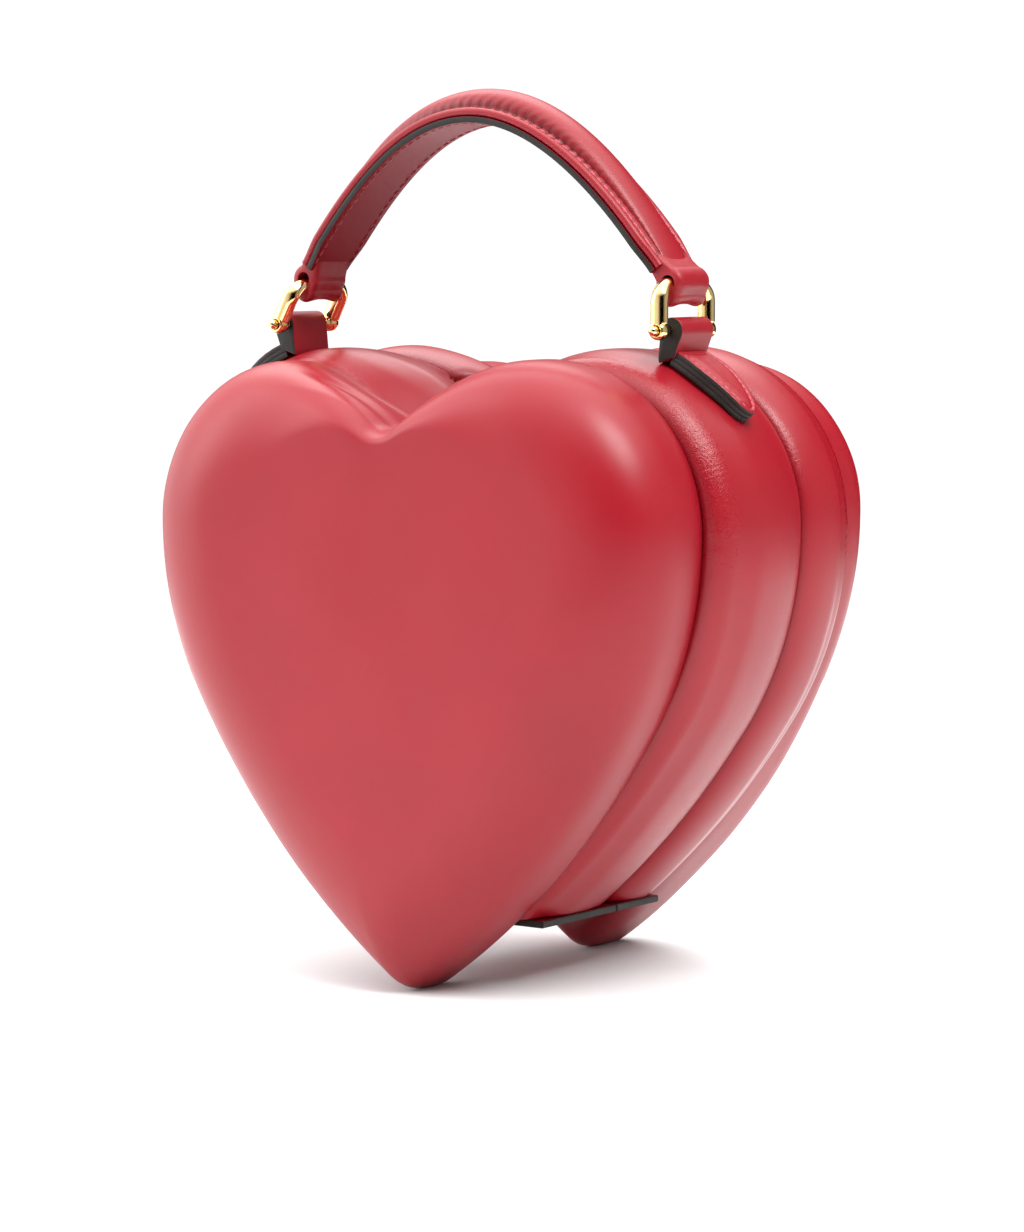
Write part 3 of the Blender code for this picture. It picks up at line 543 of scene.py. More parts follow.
def mesh_of(shape):
    """The mesh of a bmesh, which is freed."""
    mesh = bpy.data.meshes.new("mesh")
    shape.to_mesh(mesh)
    shape.free()
    return mesh


def strips(shape, verts, wrap_rows, wrap_columns):
    """Faces between neighbouring rows of points."""
    faces = []
    columns = len(verts[0])
    for low, high in zip(verts, verts[1:] + verts[:1] * wrap_rows):
        for column in range(columns if wrap_columns else columns - 1):
            after = (column + 1) % columns
            faces.append(shape.faces.new((low[column], low[after], high[after], high[column])))
    return faces


def grid_mesh(grid, wrap_rows, wrap_columns, ends=None):
    """A mesh through a grid of points. Its ends are "flat" or "fan" rows, or "columns"."""
    shape = bmesh.new()
    verts = [[shape.verts.new(point) for point in row] for row in grid]
    strips(shape, verts, wrap_rows, wrap_columns)
    if ends == "flat":
        shape.faces.new(reversed(verts[0]))
        shape.faces.new(verts[-1])
    if ends == "fan":
        for row in (verts[0], verts[-1]):
            middle = shape.verts.new(sum((vert.co for vert in row), Vector()) / len(row))
            for vert, after in zip(row, row[1:] + row[:1]):
                shape.faces.new((vert, after, middle))
    if ends == "columns":
        shape.faces.new([row[0] for row in verts])
        shape.faces.new([row[-1] for row in reversed(verts)])
    bmesh.ops.recalc_face_normals(shape, faces=shape.faces)
    return mesh_of(shape)


def soft_box(size, centre, soft):
    """A box with rounded edges."""
    shape = bmesh.new()
    place = Matrix.Translation(centre) @ Matrix.Diagonal((*size, 1))
    bmesh.ops.create_cube(shape, size=1, matrix=place)
    bmesh.ops.bevel(shape, geom=shape.edges, offset=soft, segments=2, affect="EDGES")
    return mesh_of(shape)


def mark(mesh, grid, run, across, gather, crease_shade):
    """Keep at each point, for the finish: places along and across, gathering, and the painted
    crease shade that darkens the colour.
    """
    layers = np.zeros((len(mesh.vertices), 4), np.float32)
    for index, layer in enumerate((run, across, gather, crease_shade)):
        layers[:grid[..., 0].size, index] = np.broadcast_to(layer, grid.shape[:2]).ravel()
    for name, kind, key, part in (("run", "FLOAT_VECTOR", "vector", layers[:, :3]),
                                  ("crease_shade", "FLOAT", "value", layers[:, 3])):
        mesh.attributes.new(name, kind, "POINT").data.foreach_set(key, part.ravel())


def paint_edges(mesh, is_cut):
    """Give the second finish to the faces whose normal is that of a cut side."""
    for face in mesh.polygons:
        face.material_index = int(is_cut(face.normal))
    return mesh


def flip_left(mesh, side, x):
    """Mirror a mesh about a place in X when it is for the left side."""
    if side < 0:
        mesh.transform(Matrix.Translation((2 * x, 0, 0)) @ Matrix.Diagonal((-1, 1, 1, 1)))
        mesh.flip_normals()


def placed(name, data):
    """A new object in the scene."""
    item = bpy.data.objects.new(name, data)
    bpy.context.scene.collection.objects.link(item)
    return item


def piece(name, mesh, finishes, body, nodes, angle):
    """Put a mesh in the scene as a piece that rides on a body and stands for some nodes."""
    mesh.name = name
    for finish in finishes:
        mesh.materials.append(finish.material)
    mesh.shade_smooth()
    mesh.set_sharp_from_angle(angle=radians(angle))
    item = placed(name, mesh)
    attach(item, body)
    if nodes:
        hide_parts(*nodes)
    return item


def fused(meshes):
    """One smooth closed skin round several overlapping solids."""
    shape = bmesh.new()
    for mesh in meshes:
        shape.from_mesh(mesh)
    item = placed("joined", mesh_of(shape))
    remesh = item.modifiers.new("skin", "REMESH")
    remesh.mode = "VOXEL"
    remesh.voxel_size = SKIN_VOXEL
    relax = item.modifiers.new("relax", "SMOOTH")
    relax.factor = 0.5
    relax.iterations = SKIN_SMOOTHING
    evaluated = item.evaluated_get(bpy.context.evaluated_depsgraph_get())
    skin = bpy.data.meshes.new_from_object(evaluated)
    bpy.data.objects.remove(item, do_unlink=True)
    return skin


def repeated(template, matrices):
    """One mesh of many copies of a small one."""
    points = np.array([vert.co for vert in template.vertices])
    places, faces = [], []
    for index, matrix in enumerate(matrices):
        turn = np.array(matrix)
        places.append(points @ turn[:3, :3].T + turn[:3, 3])
        faces += [[vert + index * len(points) for vert in face.vertices]
                  for face in template.polygons]
    mesh = bpy.data.meshes.new("copies")
    mesh.from_pydata(np.concatenate(places).tolist(), [], faces)
    return mesh


def basis(place, along, side, out):
    """A matrix that stands a small form along X, with its side along Y and its top along Z."""
    return Matrix(((*along, 0), (*side, 0), (*out, 0), (*place, 1))).transposed()


def lathe(profile, steps=40, ends=None):
    """A profile of radii and places turned about Y: a closed one round a bore, or one with ends."""
    angles = np.arange(steps) * tau / steps
    rows = [[(radius * cos(a), y, radius * sin(a)) for a in angles] for radius, y in profile]
    return grid_mesh(rows, not ends, True, ends)


def stitch_shape(length, thick):
    """One stitch: a plump capsule along X, a little flat."""
    rows = []
    for share in np.linspace(-1, 1, 9):
        radius = thick / 2 * sqrt(max(1 - abs(share) ** 3, 0.04))
        rows.append([(share * length / 2, radius * 1.1 * cos(a), radius * 0.8 * sin(a))
                     for a in np.arange(8) * tau / 8])
    return grid_mesh(rows, False, True, "fan")


def swellings(grid, swells):
    """Gentle rises and falls of the stuffing over a grid of points."""
    return sum(height * rough(grid, breadth, seed) for height, breadth, seed in swells)


def sag(grid, depth):
    """How far the stuffing has settled in the left lobe."""
    return depth * bell(grid[:, :, 0], *SAG_PLACE) * smooth(grid[:, :, 2], 0.11, 0.19)


def settle(grid, depths, reach=SETTLE_DEPTH):
    """How far the front heart's left lobe leans into the notch, most at its seam."""
    fade = np.clip(1 - depths / reach, 0, 1)
    place = bell(grid[:, :, 0], SETTLE_X, SETTLE_WIDTH) * smooth(grid[:, :, 2], *LOBE_TOP)
    return SETTLE * place * fade[:, None]


# ---- padded hearts

def pad_section(hem, ridge_start, ridge_end, thickness, run):
    """Insets and depths of a heart's leather, from the flat inner face to the edge of its crown."""
    points = []
    for angle in np.linspace(0, pi / 2, 20):
        q = cos(angle)
        points.append((hem * rounding(q, HEM_POWER), ridge_start * (1 - q)))
    points += [(0, depth) for depth in np.linspace(ridge_start, ridge_end, 6)[1:-1]]
    for angle in np.linspace(0, pi / 2, 34):
        points.append((run * (1 - cos(angle)),
                       ridge_end + (thickness - ridge_end) * sin(angle) ** CROWN_POWER))
    return points


def padded_heart(prefix, outline, measures, side, body):
    """A padded heart in leather. The side is -1 in front, 1 at the rear."""
    section = np.array(pad_section(*measures))
    _, _, ridge, thickness, _ = measures
    run = lengths(outline.half(0))
    run = np.concatenate((run, run[-2:0:-1]))
    edge = outline.loop(0)
    tight = 1 - NOTCH_TIGHT * bell(run, 0.0, NOTCH_REACH)
    close = 1 - HEM_TIGHT * bell(run, 0.0, HEM_REACH)
    if side < 0:
        close -= LEFT_TIGHT * bell(edge[:, 0], *SAG_PLACE) * smooth(edge[:, 1], *LOBE_TOP)
    centre = np.array((0, DOME_Z))
    hem = edge + (outline.loop(section[0, 0]) - edge) * close[:, None]
    rows = [centre + (hem - centre) * share for share in FACE_SHARES]
    for inset, depth in section:
        pull = close if depth < ridge else tight
        rows.append(edge + (outline.loop(inset) - edge) * pull[:, None])
    shares = np.linspace(1, 0, 17)[1:-1]
    rows = np.array(rows + [centre + (rows[-1] - centre) * share for share in shares])
    across = lengths(section)
    across = np.concatenate(([-0.02] * 3, across, across[-1] + (1 - shares) * 0.05))
    depths = np.concatenate(([0] * 3, section[:, 1], thickness + DOME * (1 - shares ** 2) ** 2))
    for _ in range(4):
        depths[-32:-3] = (depths[-33:-4] + 2 * depths[-32:-3] + depths[-31:-2]) / 4
    grid = upright(rows, side * (PAD_FACE_Y + depths[:, None]))

    gather = bell(across, 0.006, 0.005) * (across > 0)
    gather = gather[:, None] * (0.2 + 0.8 * smooth(grid[:, :, 2], *LOBE_TOP))
    # Painted shade: the colour darkens along the hem, where the heart meets the rolls.
    crease_shade = bell(across, 0.0, 0.0075) * (across > -0.001)
    outward = grid * (1, 0.4, 1) + (0, side * 0.02, -DOME_Z)
    outward /= np.linalg.norm(outward, axis=2)[:, :, None] + 1e-9
    swell = swellings(grid, HEART_SWELLS) * smooth(depths, 0.003, 0.012)[:, None]
    grid += outward * swell[:, :, None]
    soft = bell(run, 0.0, 0.022) * smooth(depths, 0.006, 0.020)[:, None]
    for _ in range(NOTCH_SOFT):
        around = (np.roll(grid, 1, axis=1) + np.roll(grid, -1, axis=1)) / 2
        grid += (around - grid) * (0.5 * soft)[:, :, None]
    grid[:, :, 2] -= sag(grid, SAG_FRONT if side < 0 else SAG_REAR)
    if side < 0:
        grid[:, :, 2] -= settle(grid, depths)
        flank = bell(grid[:, :, 0], SETTLE_X, FOLD_REACH) * smooth(grid[:, :, 2], 0.14, 0.17)
        for place in FOLD_DEPTHS:
            grid[:, :, 2] -= FOLD * bell(depths, place, FOLD_WIDTH)[:, None] * flank

    mesh = grid_mesh(grid, False, True, "fan")
    mark(mesh, grid, run, across[:, None], gather, crease_shade[:, None])
    nodes = (prefix + "_pad_cover", prefix + "_pad_foam")
    item = piece(prefix + "_heart", mesh, [RED_LEATHER], body, nodes, 70)


def front_board():
    """The stiffening board inside the front heart, shaped to its settled lobe."""
    loop = FRONT_PAD.loop(BOARD_INSET)
    grid = np.array([upright(loop, -PAD_FACE_Y - depth) for depth in BOARD_DEPTHS])
    grid[:, :, 2] -= settle(grid, np.zeros(2)) + sag(grid, SAG_FRONT)
    mesh = grid_mesh(grid, False, True, "flat")
    piece("front_board", mesh, [BOARD], "body", ("front_pad_board",), 40)


# ---- rolls

def roll_section(plain_half, lip_half, shut):
    """Insets, and places from the roll's middle towards its lip, for lips shut or parted."""
    points = []
    for share in np.linspace(-1, 0, ROLL_STEPS)[:-1]:
        q = sin(-share * pi / 2)
        inset = FLANGE_INSET * rounding(q, ROLL_POWER)
        bulge = BULGE * smooth(q, 0.45, 0.90) * (1 - smooth(inset, *BULGE_FADES))
        points.append((inset, -q * (plain_half + FLANGE) - bulge))
    half = lip_half if shut else plain_half
    depth = LIP_DEPTH if shut else ROLL_DEPTH
    power = LIP_POWER if shut else ROLL_POWER
    for share in np.linspace(0, 1, ROLL_STEPS):
        q = sin(share * pi / 2)
        points.append((depth * rounding(q, power), q * half))
    edge = lip_half + LIP_GAP - CREASE_HALF
    if shut:
        points += [(inset, half - back) for inset, back in LIP_UNDERSIDE]
        points += [(inset, edge - back) for inset, back in LIP_WALL]
    else:
        points += [(ROLL_DEPTH, half - 0.0001 * step) for step in range(1, 7)]
    points += [(ROLL_DEPTH, y) for y in (0.5 * edge, 0.0, -0.5 * plain_half, -plain_half)]
    points = np.array(points + [(FLANGE_INSET, -plain_half)])
    bead = BEAD_RISE * bell(points[:ROLL_OUTSIDE, 1], BEAD_PLACE - plain_half, BEAD_WIDTH)
    points[:ROLL_OUTSIDE] -= bead[:, None] * (1, 0.4)
    return points


def padded_roll(name, face_y, lip_y, body):
    """A padded roll round the gusset, from its plain edge at a heart to its lip over the zip."""
    side = 1 if lip_y > face_y else -1
    middle = (face_y + ZIP_Y - side * CREASE_HALF) / 2
    plain_half, lip_half = abs(face_y - middle), abs(lip_y - middle)
    parted, shut = (roll_section(plain_half, lip_half, state) for state in (False, True))
    run = lengths(GUSSET.path(0))
    run = np.abs(run - run[-1] / 2)
    closing = smooth(run, *LIPS_CLOSE)
    low, high = (np.array([GUSSET.path(inset) for inset in section[:, 0]])
                 for section in (parted, shut))
    grid = upright(low + (high - low) * closing[:, None],
                   middle + side * (parted[:, 1:] + (shut - parted)[:, 1:] * closing))
    height, place = shut.T
    outside = np.arange(len(shut)) < ROLL_OUTSIDE
    plain = smooth(-place, plain_half * 0.68, plain_half * 0.88) * outside
    lip = smooth(place, lip_half * 0.62, lip_half * 0.90) * outside
    lobes = smooth(grid[:, :, 2], 0.10, 0.165)
    gather = (plain[:, None] * (0.30 + 0.70 * lobes)
              + lip[:, None] * lobes * (0.8 if side < 0 else 0.2))
    # Painted shade: darker at the lip's edge, past the plain edge, and on the inner faces deep in
    # the crease.
    shade = (0.4 * smooth(place, lip_half * 0.9, lip_half)
             + 0.45 * smooth(-place, plain_half + 0.4 * BULGE, plain_half + 0.9 * BULGE))
    crease_shade = np.maximum(smooth(height, 0.008, 0.015), shade * outside)
    swell = swellings(grid, ROLL_SWELLS) * smooth(0.0045 - height, 0.0, 0.003)[:, None]
    grid[:, :, 2] += swell - sag(grid, SAG_REAR)
    if side > 0:
        outside[-1] = True
        grid[:, :, 2] -= settle(grid, grid[:, 0, 1] - face_y, SETTLE_ROLL) * outside[:, None]

    mesh = grid_mesh(grid, True, False, "columns")
    mark(mesh, grid, run, lengths(shut)[:, None], gather, crease_shade[:, None])
    nodes = (body + "_gusset_cover", body + "_gusset_foam")
    piece(name, mesh, [RED_LEATHER], body, nodes, 70)


# ---- lining, zip, base

def gusset_band(name, section, finish, body, node):
    """A closed strip round the gusset, from a loop of insets and places along Y."""
    grid = np.array([upright(GUSSET.path(inset), y) for inset, y in section])
    piece(name, grid_mesh(grid, True, False, "columns"), [finish], body, (node,), 40)


def lining_panel(name, side, body):
    """The cloth on the inner face of a heart."""
    path = GUSSET.path(PANEL_INSET)
    grid = np.array([upright(path, side * y) for y in (ROLL_FACE_Y, ROLL_FACE_Y - CLOTH)])
    mesh = grid_mesh(grid, False, True, "flat")
    piece(name, mesh, [LINING], body, (name + "_panel",), 40)


def zip_side(prefix, side):
    """Tape and separate teeth on one side of the zip."""
    thin, deep = TAPE_WALL - TAPE_THICK, TAPE_FOOT + TAPE_THICK
    reach = ((TAPE_TOP, TAPE_WALL), (TAPE_TOP, thin), (TAPE_FOOT, thin), (TAPE_FOOT, ZIP_SPLIT),
             (deep, ZIP_SPLIT), (deep, TAPE_WALL))
    section = [(inset, ZIP_Y + side * y) for inset, y in reach]
    gusset_band(prefix + "_zip_strip", section, TAPE, prefix, prefix + "_zip_tape")

    size = (TOOTH_PITCH * TOOTH_SHARE, TOOTH_REACH, TOOTH_DEPTH - 0.0003)
    path = GUSSET.path(TEETH_TOP + TOOTH_DEPTH / 2)
    run = lengths(path)
    matrices = []
    start = TOOTH_PITCH * (0.75 if side > 0 else 1.25)
    for reach in np.arange(start, run[-1] - TOOTH_PITCH, TOOTH_PITCH):
        x, z = at(reach, run, path)
        ahead = at(reach + 0.0005, run, path) - (x, z)
        along = Vector((ahead[0], 0, ahead[1])).normalized()
        place = (x, ZIP_Y + side * (TEETH_APART + TOOTH_REACH / 2), z)
        matrices.append(basis(place, along, (0, 1, 0), (-along.z, 0, along.x)))
    mesh = repeated(soft_box(size, (0, 0, 0), TOOTH_SOFT), matrices)
    piece(prefix + "_teeth", mesh, [GOLD], prefix, (prefix + "_zip_teeth",), 30)


def base_half(name, start, end, body):
    """One half of the base strip: leather, with painted cut sides."""
    size = (2 * GUSSET.path(0)[-1, 0], end - start, BASE_THICK)
    centre = (0, (start + end) / 2, BASE_TOP_Z - BASE_THICK / 2)
    mesh = paint_edges(soft_box(size, centre, BASE_SOFT), lambda normal: abs(normal.z) <= 0.8)
    nodes = (body + "_base_strip",)
    piece(name, mesh, [RED_LEATHER, BLACK_EDGE], body, nodes, 30)


# ---- rings

def bow_tube():
    """The bent bar of a ring, drawn about the pin at the origin: broad legs and a round top."""
    corner = BOW_HEIGHT - BOW_CORNER
    bend = BOW_HALF - BOW_CORNER
    right = [(BOW_HALF, z) for z in np.linspace(BOW_LOW, corner, 14)[:-1]]
    right += [(bend + BOW_CORNER * cos(a), corner + BOW_CORNER * sin(a))
              for a in np.linspace(0, pi / 2, 16)]
    middle = [(y, BOW_HEIGHT) for y in np.linspace(bend, -bend, 10)[1:-1]]
    path = np.array(right + middle + [(-y, z) for y, z in reversed(right)])
    ahead = np.gradient(path, axis=0)
    ahead /= np.linalg.norm(ahead, axis=1)[:, None]
    rows = []
    for (y, z), (ay, az) in zip(path, ahead):
        high = smooth(z, *BOW_NARROWS)
        wide = EYE_RADIUS + (BOW_WIRE - EYE_RADIUS) * high
        deep = LEG_DEEP + (BOW_WIRE - LEG_DEEP) * high
        rows.append([(wide * cos(a), y - az * deep * sin(a), z + ay * deep * sin(a))
                     for a in np.arange(28) * tau / 28])
    return grid_mesh(rows, False, True, "flat")


def ring(prefix, pin, lean):
    """A bowed ring and its pin, drawn upright about the pin's axis, then leaned over."""
    solids = [bow_tube()]
    for end in (-1, 1):
        profile = [(EYE_RADIUS - EYE_SOFT + EYE_SOFT * cos(a) ** 0.7,
                    end * BOW_HALF + EYE_LENGTH / 2 * sin(a))
                   for a in np.linspace(-pi / 2, pi / 2, 13)]
        profile += [(BORE_RADIUS, end * BOW_HALF + y) for y in (EYE_LENGTH / 2, -EYE_LENGTH / 2)]
        solids.append(lathe(profile))
        centre = end * (BOW_HALF - EYE_LENGTH / 2 - BEAD_APART)
        profile = [(BORE_RADIUS + (BEAD_RADIUS - BORE_RADIUS) * cos(a),
                    centre + BEAD_HALF * sin(a))
                   for a in np.linspace(-pi / 2, pi / 2, 9)]
        profile += [(BORE_RADIUS, centre + y) for y in (BEAD_BORE, -BEAD_BORE)]
        solids.append(lathe(profile))

    end = BOW_HALF + EYE_LENGTH / 2
    head = -end - PIN_HEAD_RADIUS * 0.75
    profile = [(0.0, end), (PIN_RADIUS * 0.7, end), (PIN_RADIUS, end - 0.0003), (PIN_RADIUS, -end)]
    profile += [(PIN_HEAD_RADIUS * cos(a), head + PIN_HEAD_RADIUS * sin(a))
                for a in np.linspace(radians(55), -pi / 2, 14)]
    shank = lathe([(max(radius, 0.00002), y) for radius, y in profile], 32, "flat")

    stand = Matrix.Translation(pin) @ Matrix.Rotation(radians(lean), 4, "Y")
    for part, mesh in (("_bow", fused(solids)), ("_pin", shank)):
        mesh.transform(stand)
        piece(prefix + part, mesh, [GOLD], prefix + "_ring",
              (prefix + "_ring" + part,), 60)


# ---- tabs

def edge_distance(points, outline):
    """How far each point is from a closed outline, in its plane."""
    best = np.full(len(points), 1e9)
    for first, run in zip(outline, np.roll(outline, -1, axis=0) - outline):
        share = np.clip(((points - first) @ run) / max(run @ run, 1e-12), 0, 1)
        best = np.minimum(best, np.linalg.norm(points - first - share[:, None] * run, axis=1))
    return best


def rim(rows):
    """The edge of a grid, once round."""
    return ([row[0] for row in rows] + list(rows[-1][1:])
            + [row[-1] for row in rows[-2::-1]] + list(rows[0][-2:0:-1]))


def tab(prefix, side):
    """A leather tab: a strap looped round the pin, and a pointed leaf sewn to the wide roll."""
    mid_radius = LEAF_LOW + LEAF_THICK
    thickness = LEAF_THICK - LEAF_RELIEF
    shares = 1 - (1 - np.linspace(0, 1, 90)) ** 1.5
    along = shares * radians(LEAF_ROOT - LEAF_POINT) * mid_radius
    stops = np.linspace(0, 1, len(LEAF_WIDTHS))
    half = TAB_HALF * np.interp(shares, stops, LEAF_WIDTHS)
    half = np.convolve(np.pad(half, 4, mode="edge"), np.ones(9) / 9, "valid")
    half *= np.sqrt(1 - np.clip((shares - LEAF_BLUNT) / (1 - LEAF_BLUNT), 0, 1) ** 2)
    half[-1] = 0.0002
    lanes = np.sin(np.linspace(-1, 1, 41) * pi / 2)
    flat = np.dstack(np.broadcast_arrays(along[:, None], half[:, None] * lanes))
    outline = np.concatenate((flat[:, -1], flat[::-1, 0]))[1:-1]
    inset = edge_distance(flat.reshape(-1, 2), outline).reshape(flat.shape[:2])
    inset[0] = np.maximum(inset[0], 0.004)
    rise = (0.00035 * smooth(inset, 0.0, 0.0006) - 0.00045 * bell(inset, LEAF_SEAM, 0.00045)
            + 0.00035 * smooth(inset, 0.0024, 0.0042))
    rise += 0.00008 * rough(np.dstack((flat, np.zeros(flat.shape[:2]))), 0.0018, 4.2)

    def bend(reach, lane, height):
        angle = radians(LEAF_ROOT) - reach / mid_radius
        radius = LEAF_LOW + height
        return (side * (GUSSET.lobe[0] + radius * cos(angle)), RING_Y + lane,
                GUSSET.lobe[1] + radius * sin(angle))

    border = np.array(rim(flat))
    ahead = np.roll(border, -2, axis=0) - np.roll(border, 2, axis=0)
    out = np.stack((-ahead[:, 1], ahead[:, 0]), 1)
    out /= np.linalg.norm(out, axis=1)[:, None] + 1e-9
    shape = bmesh.new()
    top, low = ([[shape.verts.new(bend(*place, height)) for place, height in zip(*row)]
                 for row in zip(flat, heights)] for heights in (thickness + rise, 0 * rise))
    rings = [rim(top)]
    for share in np.linspace(1, 0, 26)[1:-1]:
        push = LEAF_LAYER * (abs(sin(share * LEAF_LAYERS * pi)) ** 0.5 - 0.4)
        rings.append([shape.verts.new(bend(*place, share * thickness))
                      for place in border - push * out])
    rings.append(rim(low))
    strips(shape, top, False, False)
    strips(shape, low, False, False)
    for face in strips(shape, rings, False, True):
        face.material_index = 1
    bmesh.ops.recalc_face_normals(shape, faces=shape.faces)
    finishes = [SMALL_LEATHER, BLACK_EDGE]
    piece(prefix + "_tab_leaf", mesh_of(shape), finishes, "body",
          (prefix + "_tab",), 40)

    pin = np.array((RING_X, RING_Z))
    feet = [arc(GUSSET.lobe, radius, radians(angle), 0, 1)[0] for angle, radius in
            ((LEAF_ROOT + 3.9, LEAF_LOW - 0.0010), (LEAF_ROOT - 1.0, LEAF_LOW + 0.0030))]
    strap = wrapped(pin + (TAB_LOOP_SHIFT, 0), TAB_LOOP_OUTER, *feet)
    bore = arc(pin, BORE_RADIUS, 0, tau, 48, False)
    strap = sleeve(np.array([feet[0], *strap, feet[1]]), bore, pin, TAB_HALF, 0.0004)
    paint_edges(strap, lambda normal: abs(normal.y) > 0.7)
    flip_left(strap, side, 0)
    piece(prefix + "_tab_loop", strap, finishes, "body", (), 40)

    sewn = (half > LEAF_SEAM + 0.0006) & (shares > 0.06)
    seam = np.stack((along, half - LEAF_SEAM), 1)[sewn]
    path = np.concatenate((seam * (1, -1), seam[::-1]))
    run = lengths(path)
    sunk = LEAF_THICK - 0.0004
    matrices = []
    for reach in np.arange(LEAF_SEAM_PITCH / 2, run[-1], LEAF_SEAM_PITCH):
        u, v = at(reach, run, path)
        here = Vector(bend(u, v, sunk))
        ahead = (Vector(bend(*at(reach + 0.0004, run, path), sunk)) - here).normalized()
        up = (Vector(bend(u, v, sunk + 0.001)) - here).normalized()
        matrices.append(basis(here, ahead, up.cross(ahead), up))
    stitches = repeated(stitch_shape(0.0017, 0.00075), matrices)
    piece(prefix + "_tab_stitches", stitches, [THREAD], "body", (), 60)


def wrapped(centre, radius, first, last):
    """The arc of a strap pulled tight round a pin, from the first foot over the top to the last."""
    angles = []
    for foot, sign in ((first, -1), (last, 1)):
        away = foot - centre
        angles.append(atan2(away[1], away[0]) + sign * acos(radius / hypot(*away)))
    start, end = angles
    if start < end:
        start += tau
    return arc(centre, radius, start, end, 44)


def reach_at(points, centre, angles):
    """How far a closed outline is from a centre inside it, at each angle."""
    closed = np.concatenate((points, points[:1]))
    run = lengths(closed)
    dense = at(np.linspace(0, run[-1], 900), run, closed).T - centre
    turn = np.arctan2(dense[:, 1], dense[:, 0])
    order = np.argsort(turn)
    return np.interp(angles, turn[order], np.hypot(*dense[order].T), period=tau)


def sleeve(outline, eye, centre, half, soft, saddle=0.0, wrinkle=0.0):
    """A leather sleeve across a bar: an outline round an eye in the X-Z plane, swept along Y."""
    angles = np.arange(128) * tau / 128
    spokes = np.stack((np.cos(angles), np.sin(angles)), 1)
    outer, inner = (reach_at(line, centre, angles) for line in (outline, eye))
    turns = np.linspace(0, pi / 2, 6)
    lanes = [(-half + soft * (1 - cos(a)), soft * (1 - sin(a))) for a in turns]
    lanes += [(y, 0.0) for y in np.linspace(soft - half, half - soft, 17)[1:-1]]
    lanes += [(-y, shrink) for y, shrink in reversed(lanes[:6])]

    def dip(y):
        return saddle * (1 - (y / half) ** 2) * np.clip(-spokes[:, 1], 0, 1) ** 2

    swept = [(y, outer - shrink - dip(y)) for y, shrink in lanes]
    swept += [(y, inner - 0.8 * dip(y) * (inner > 0.002)) for y, _ in lanes[-1:2:-4] + lanes[:1]]
    rows = []
    for y, radius in swept:
        places = upright(centre + radius[:, None] * spokes, RING_Y + y)
        push = wrinkle * rough(places, 0.0032, 6.3) * (radius > inner + 0.0004)
        rows.append(places + upright(push[:, None] * spokes, 0.0))
    return grid_mesh(rows, True, True)


# ---- handle

def handle_frames(steps):
    """Places, directions along and outwards, and shares along the handle's underside."""
    x = np.linspace(-HANDLE_REACH, HANDLE_REACH, steps)
    share = x / HANDLE_REACH
    skew = (HANDLE_SKEW * (1 - share ** 2) ** 2
            + HANDLE_TRIM * np.sin(HANDLE_TRIM_TURN * np.clip(share, 0, 1)))
    places = np.stack((HANDLE_X + x - skew, np.full(steps, RING_Y),
                       HANDLE_LOW_Z - HANDLE_BEND * x * x), 1)
    along = np.gradient(places, x, axis=0)
    along /= np.linalg.norm(along, axis=1)[:, None]
    out = np.stack((-along[:, 2], np.zeros(steps), along[:, 0]), 1)
    return places, along, out, share


def handle_sweep(section, steps):
    """Points along the handle. The section gives widths and heights at each share."""
    places, _, out, shares = handle_frames(steps)
    points = np.array([section(share) for share in shares])
    return places[:, None] + points[:, :, :1] * (0, 1, 0) + points[:, :, 1:] * out[:, None]


def handle_half(share):
    """Half the handle's width, a little narrower at its ends."""
    return HANDLE_WIDTH / 2 * (1 - HANDLE_NARROW * smooth(abs(share), NARROW_FROM, 1))


def underside_section(share):
    """The dark strap: flat, with soft corners."""
    half = handle_half(share)
    lanes = np.linspace(-1, 1, 25) * (half - STRAP_SOFT)
    side = [(half - 0.0001, 0.0001), (half, STRAP_SOFT), (half, UNDERSIDE - STRAP_SOFT),
            (half - 0.0001, UNDERSIDE - 0.0001)]
    return ([(w, 0.0) for w in lanes] + side + [(w, UNDERSIDE) for w in lanes[::-1]]
            + [(-w, h) for w, h in reversed(side)])


def top_section(share):
    """The top leather: a fold at each edge, a flat border, and a padded hump between."""
    half = handle_half(share)
    height = HUMP_HEIGHT * (1 - (1 - HUMP_END_SHARE) * abs(share) ** HUMP_POWER)
    fold = (BORDER_H - FOLD_LOW) / 2
    right = [(half - fold + fold * cos(a), FOLD_LOW + fold + fold * sin(a))
             for a in np.linspace(-pi / 2, pi / 2, 9)]
    right += [(w, BORDER_H) for w in np.linspace(half - fold, HUMP_HALF + 0.0005, 14)[1:]]
    hump_half = HUMP_HALF * (1 - HUMP_TAPER * share ** 2)
    hump = [(hump_half * cos(a), BORDER_H + height * sin(a) ** 0.9)
            for a in np.linspace(0.03, pi - 0.03, 34)]
    left = [(-w, h) for w, h in reversed(right)]
    low = [(w, FOLD_LOW) for w in np.linspace(-half + fold, half - fold, 12)[1:-1]]
    return right + hump + left + low


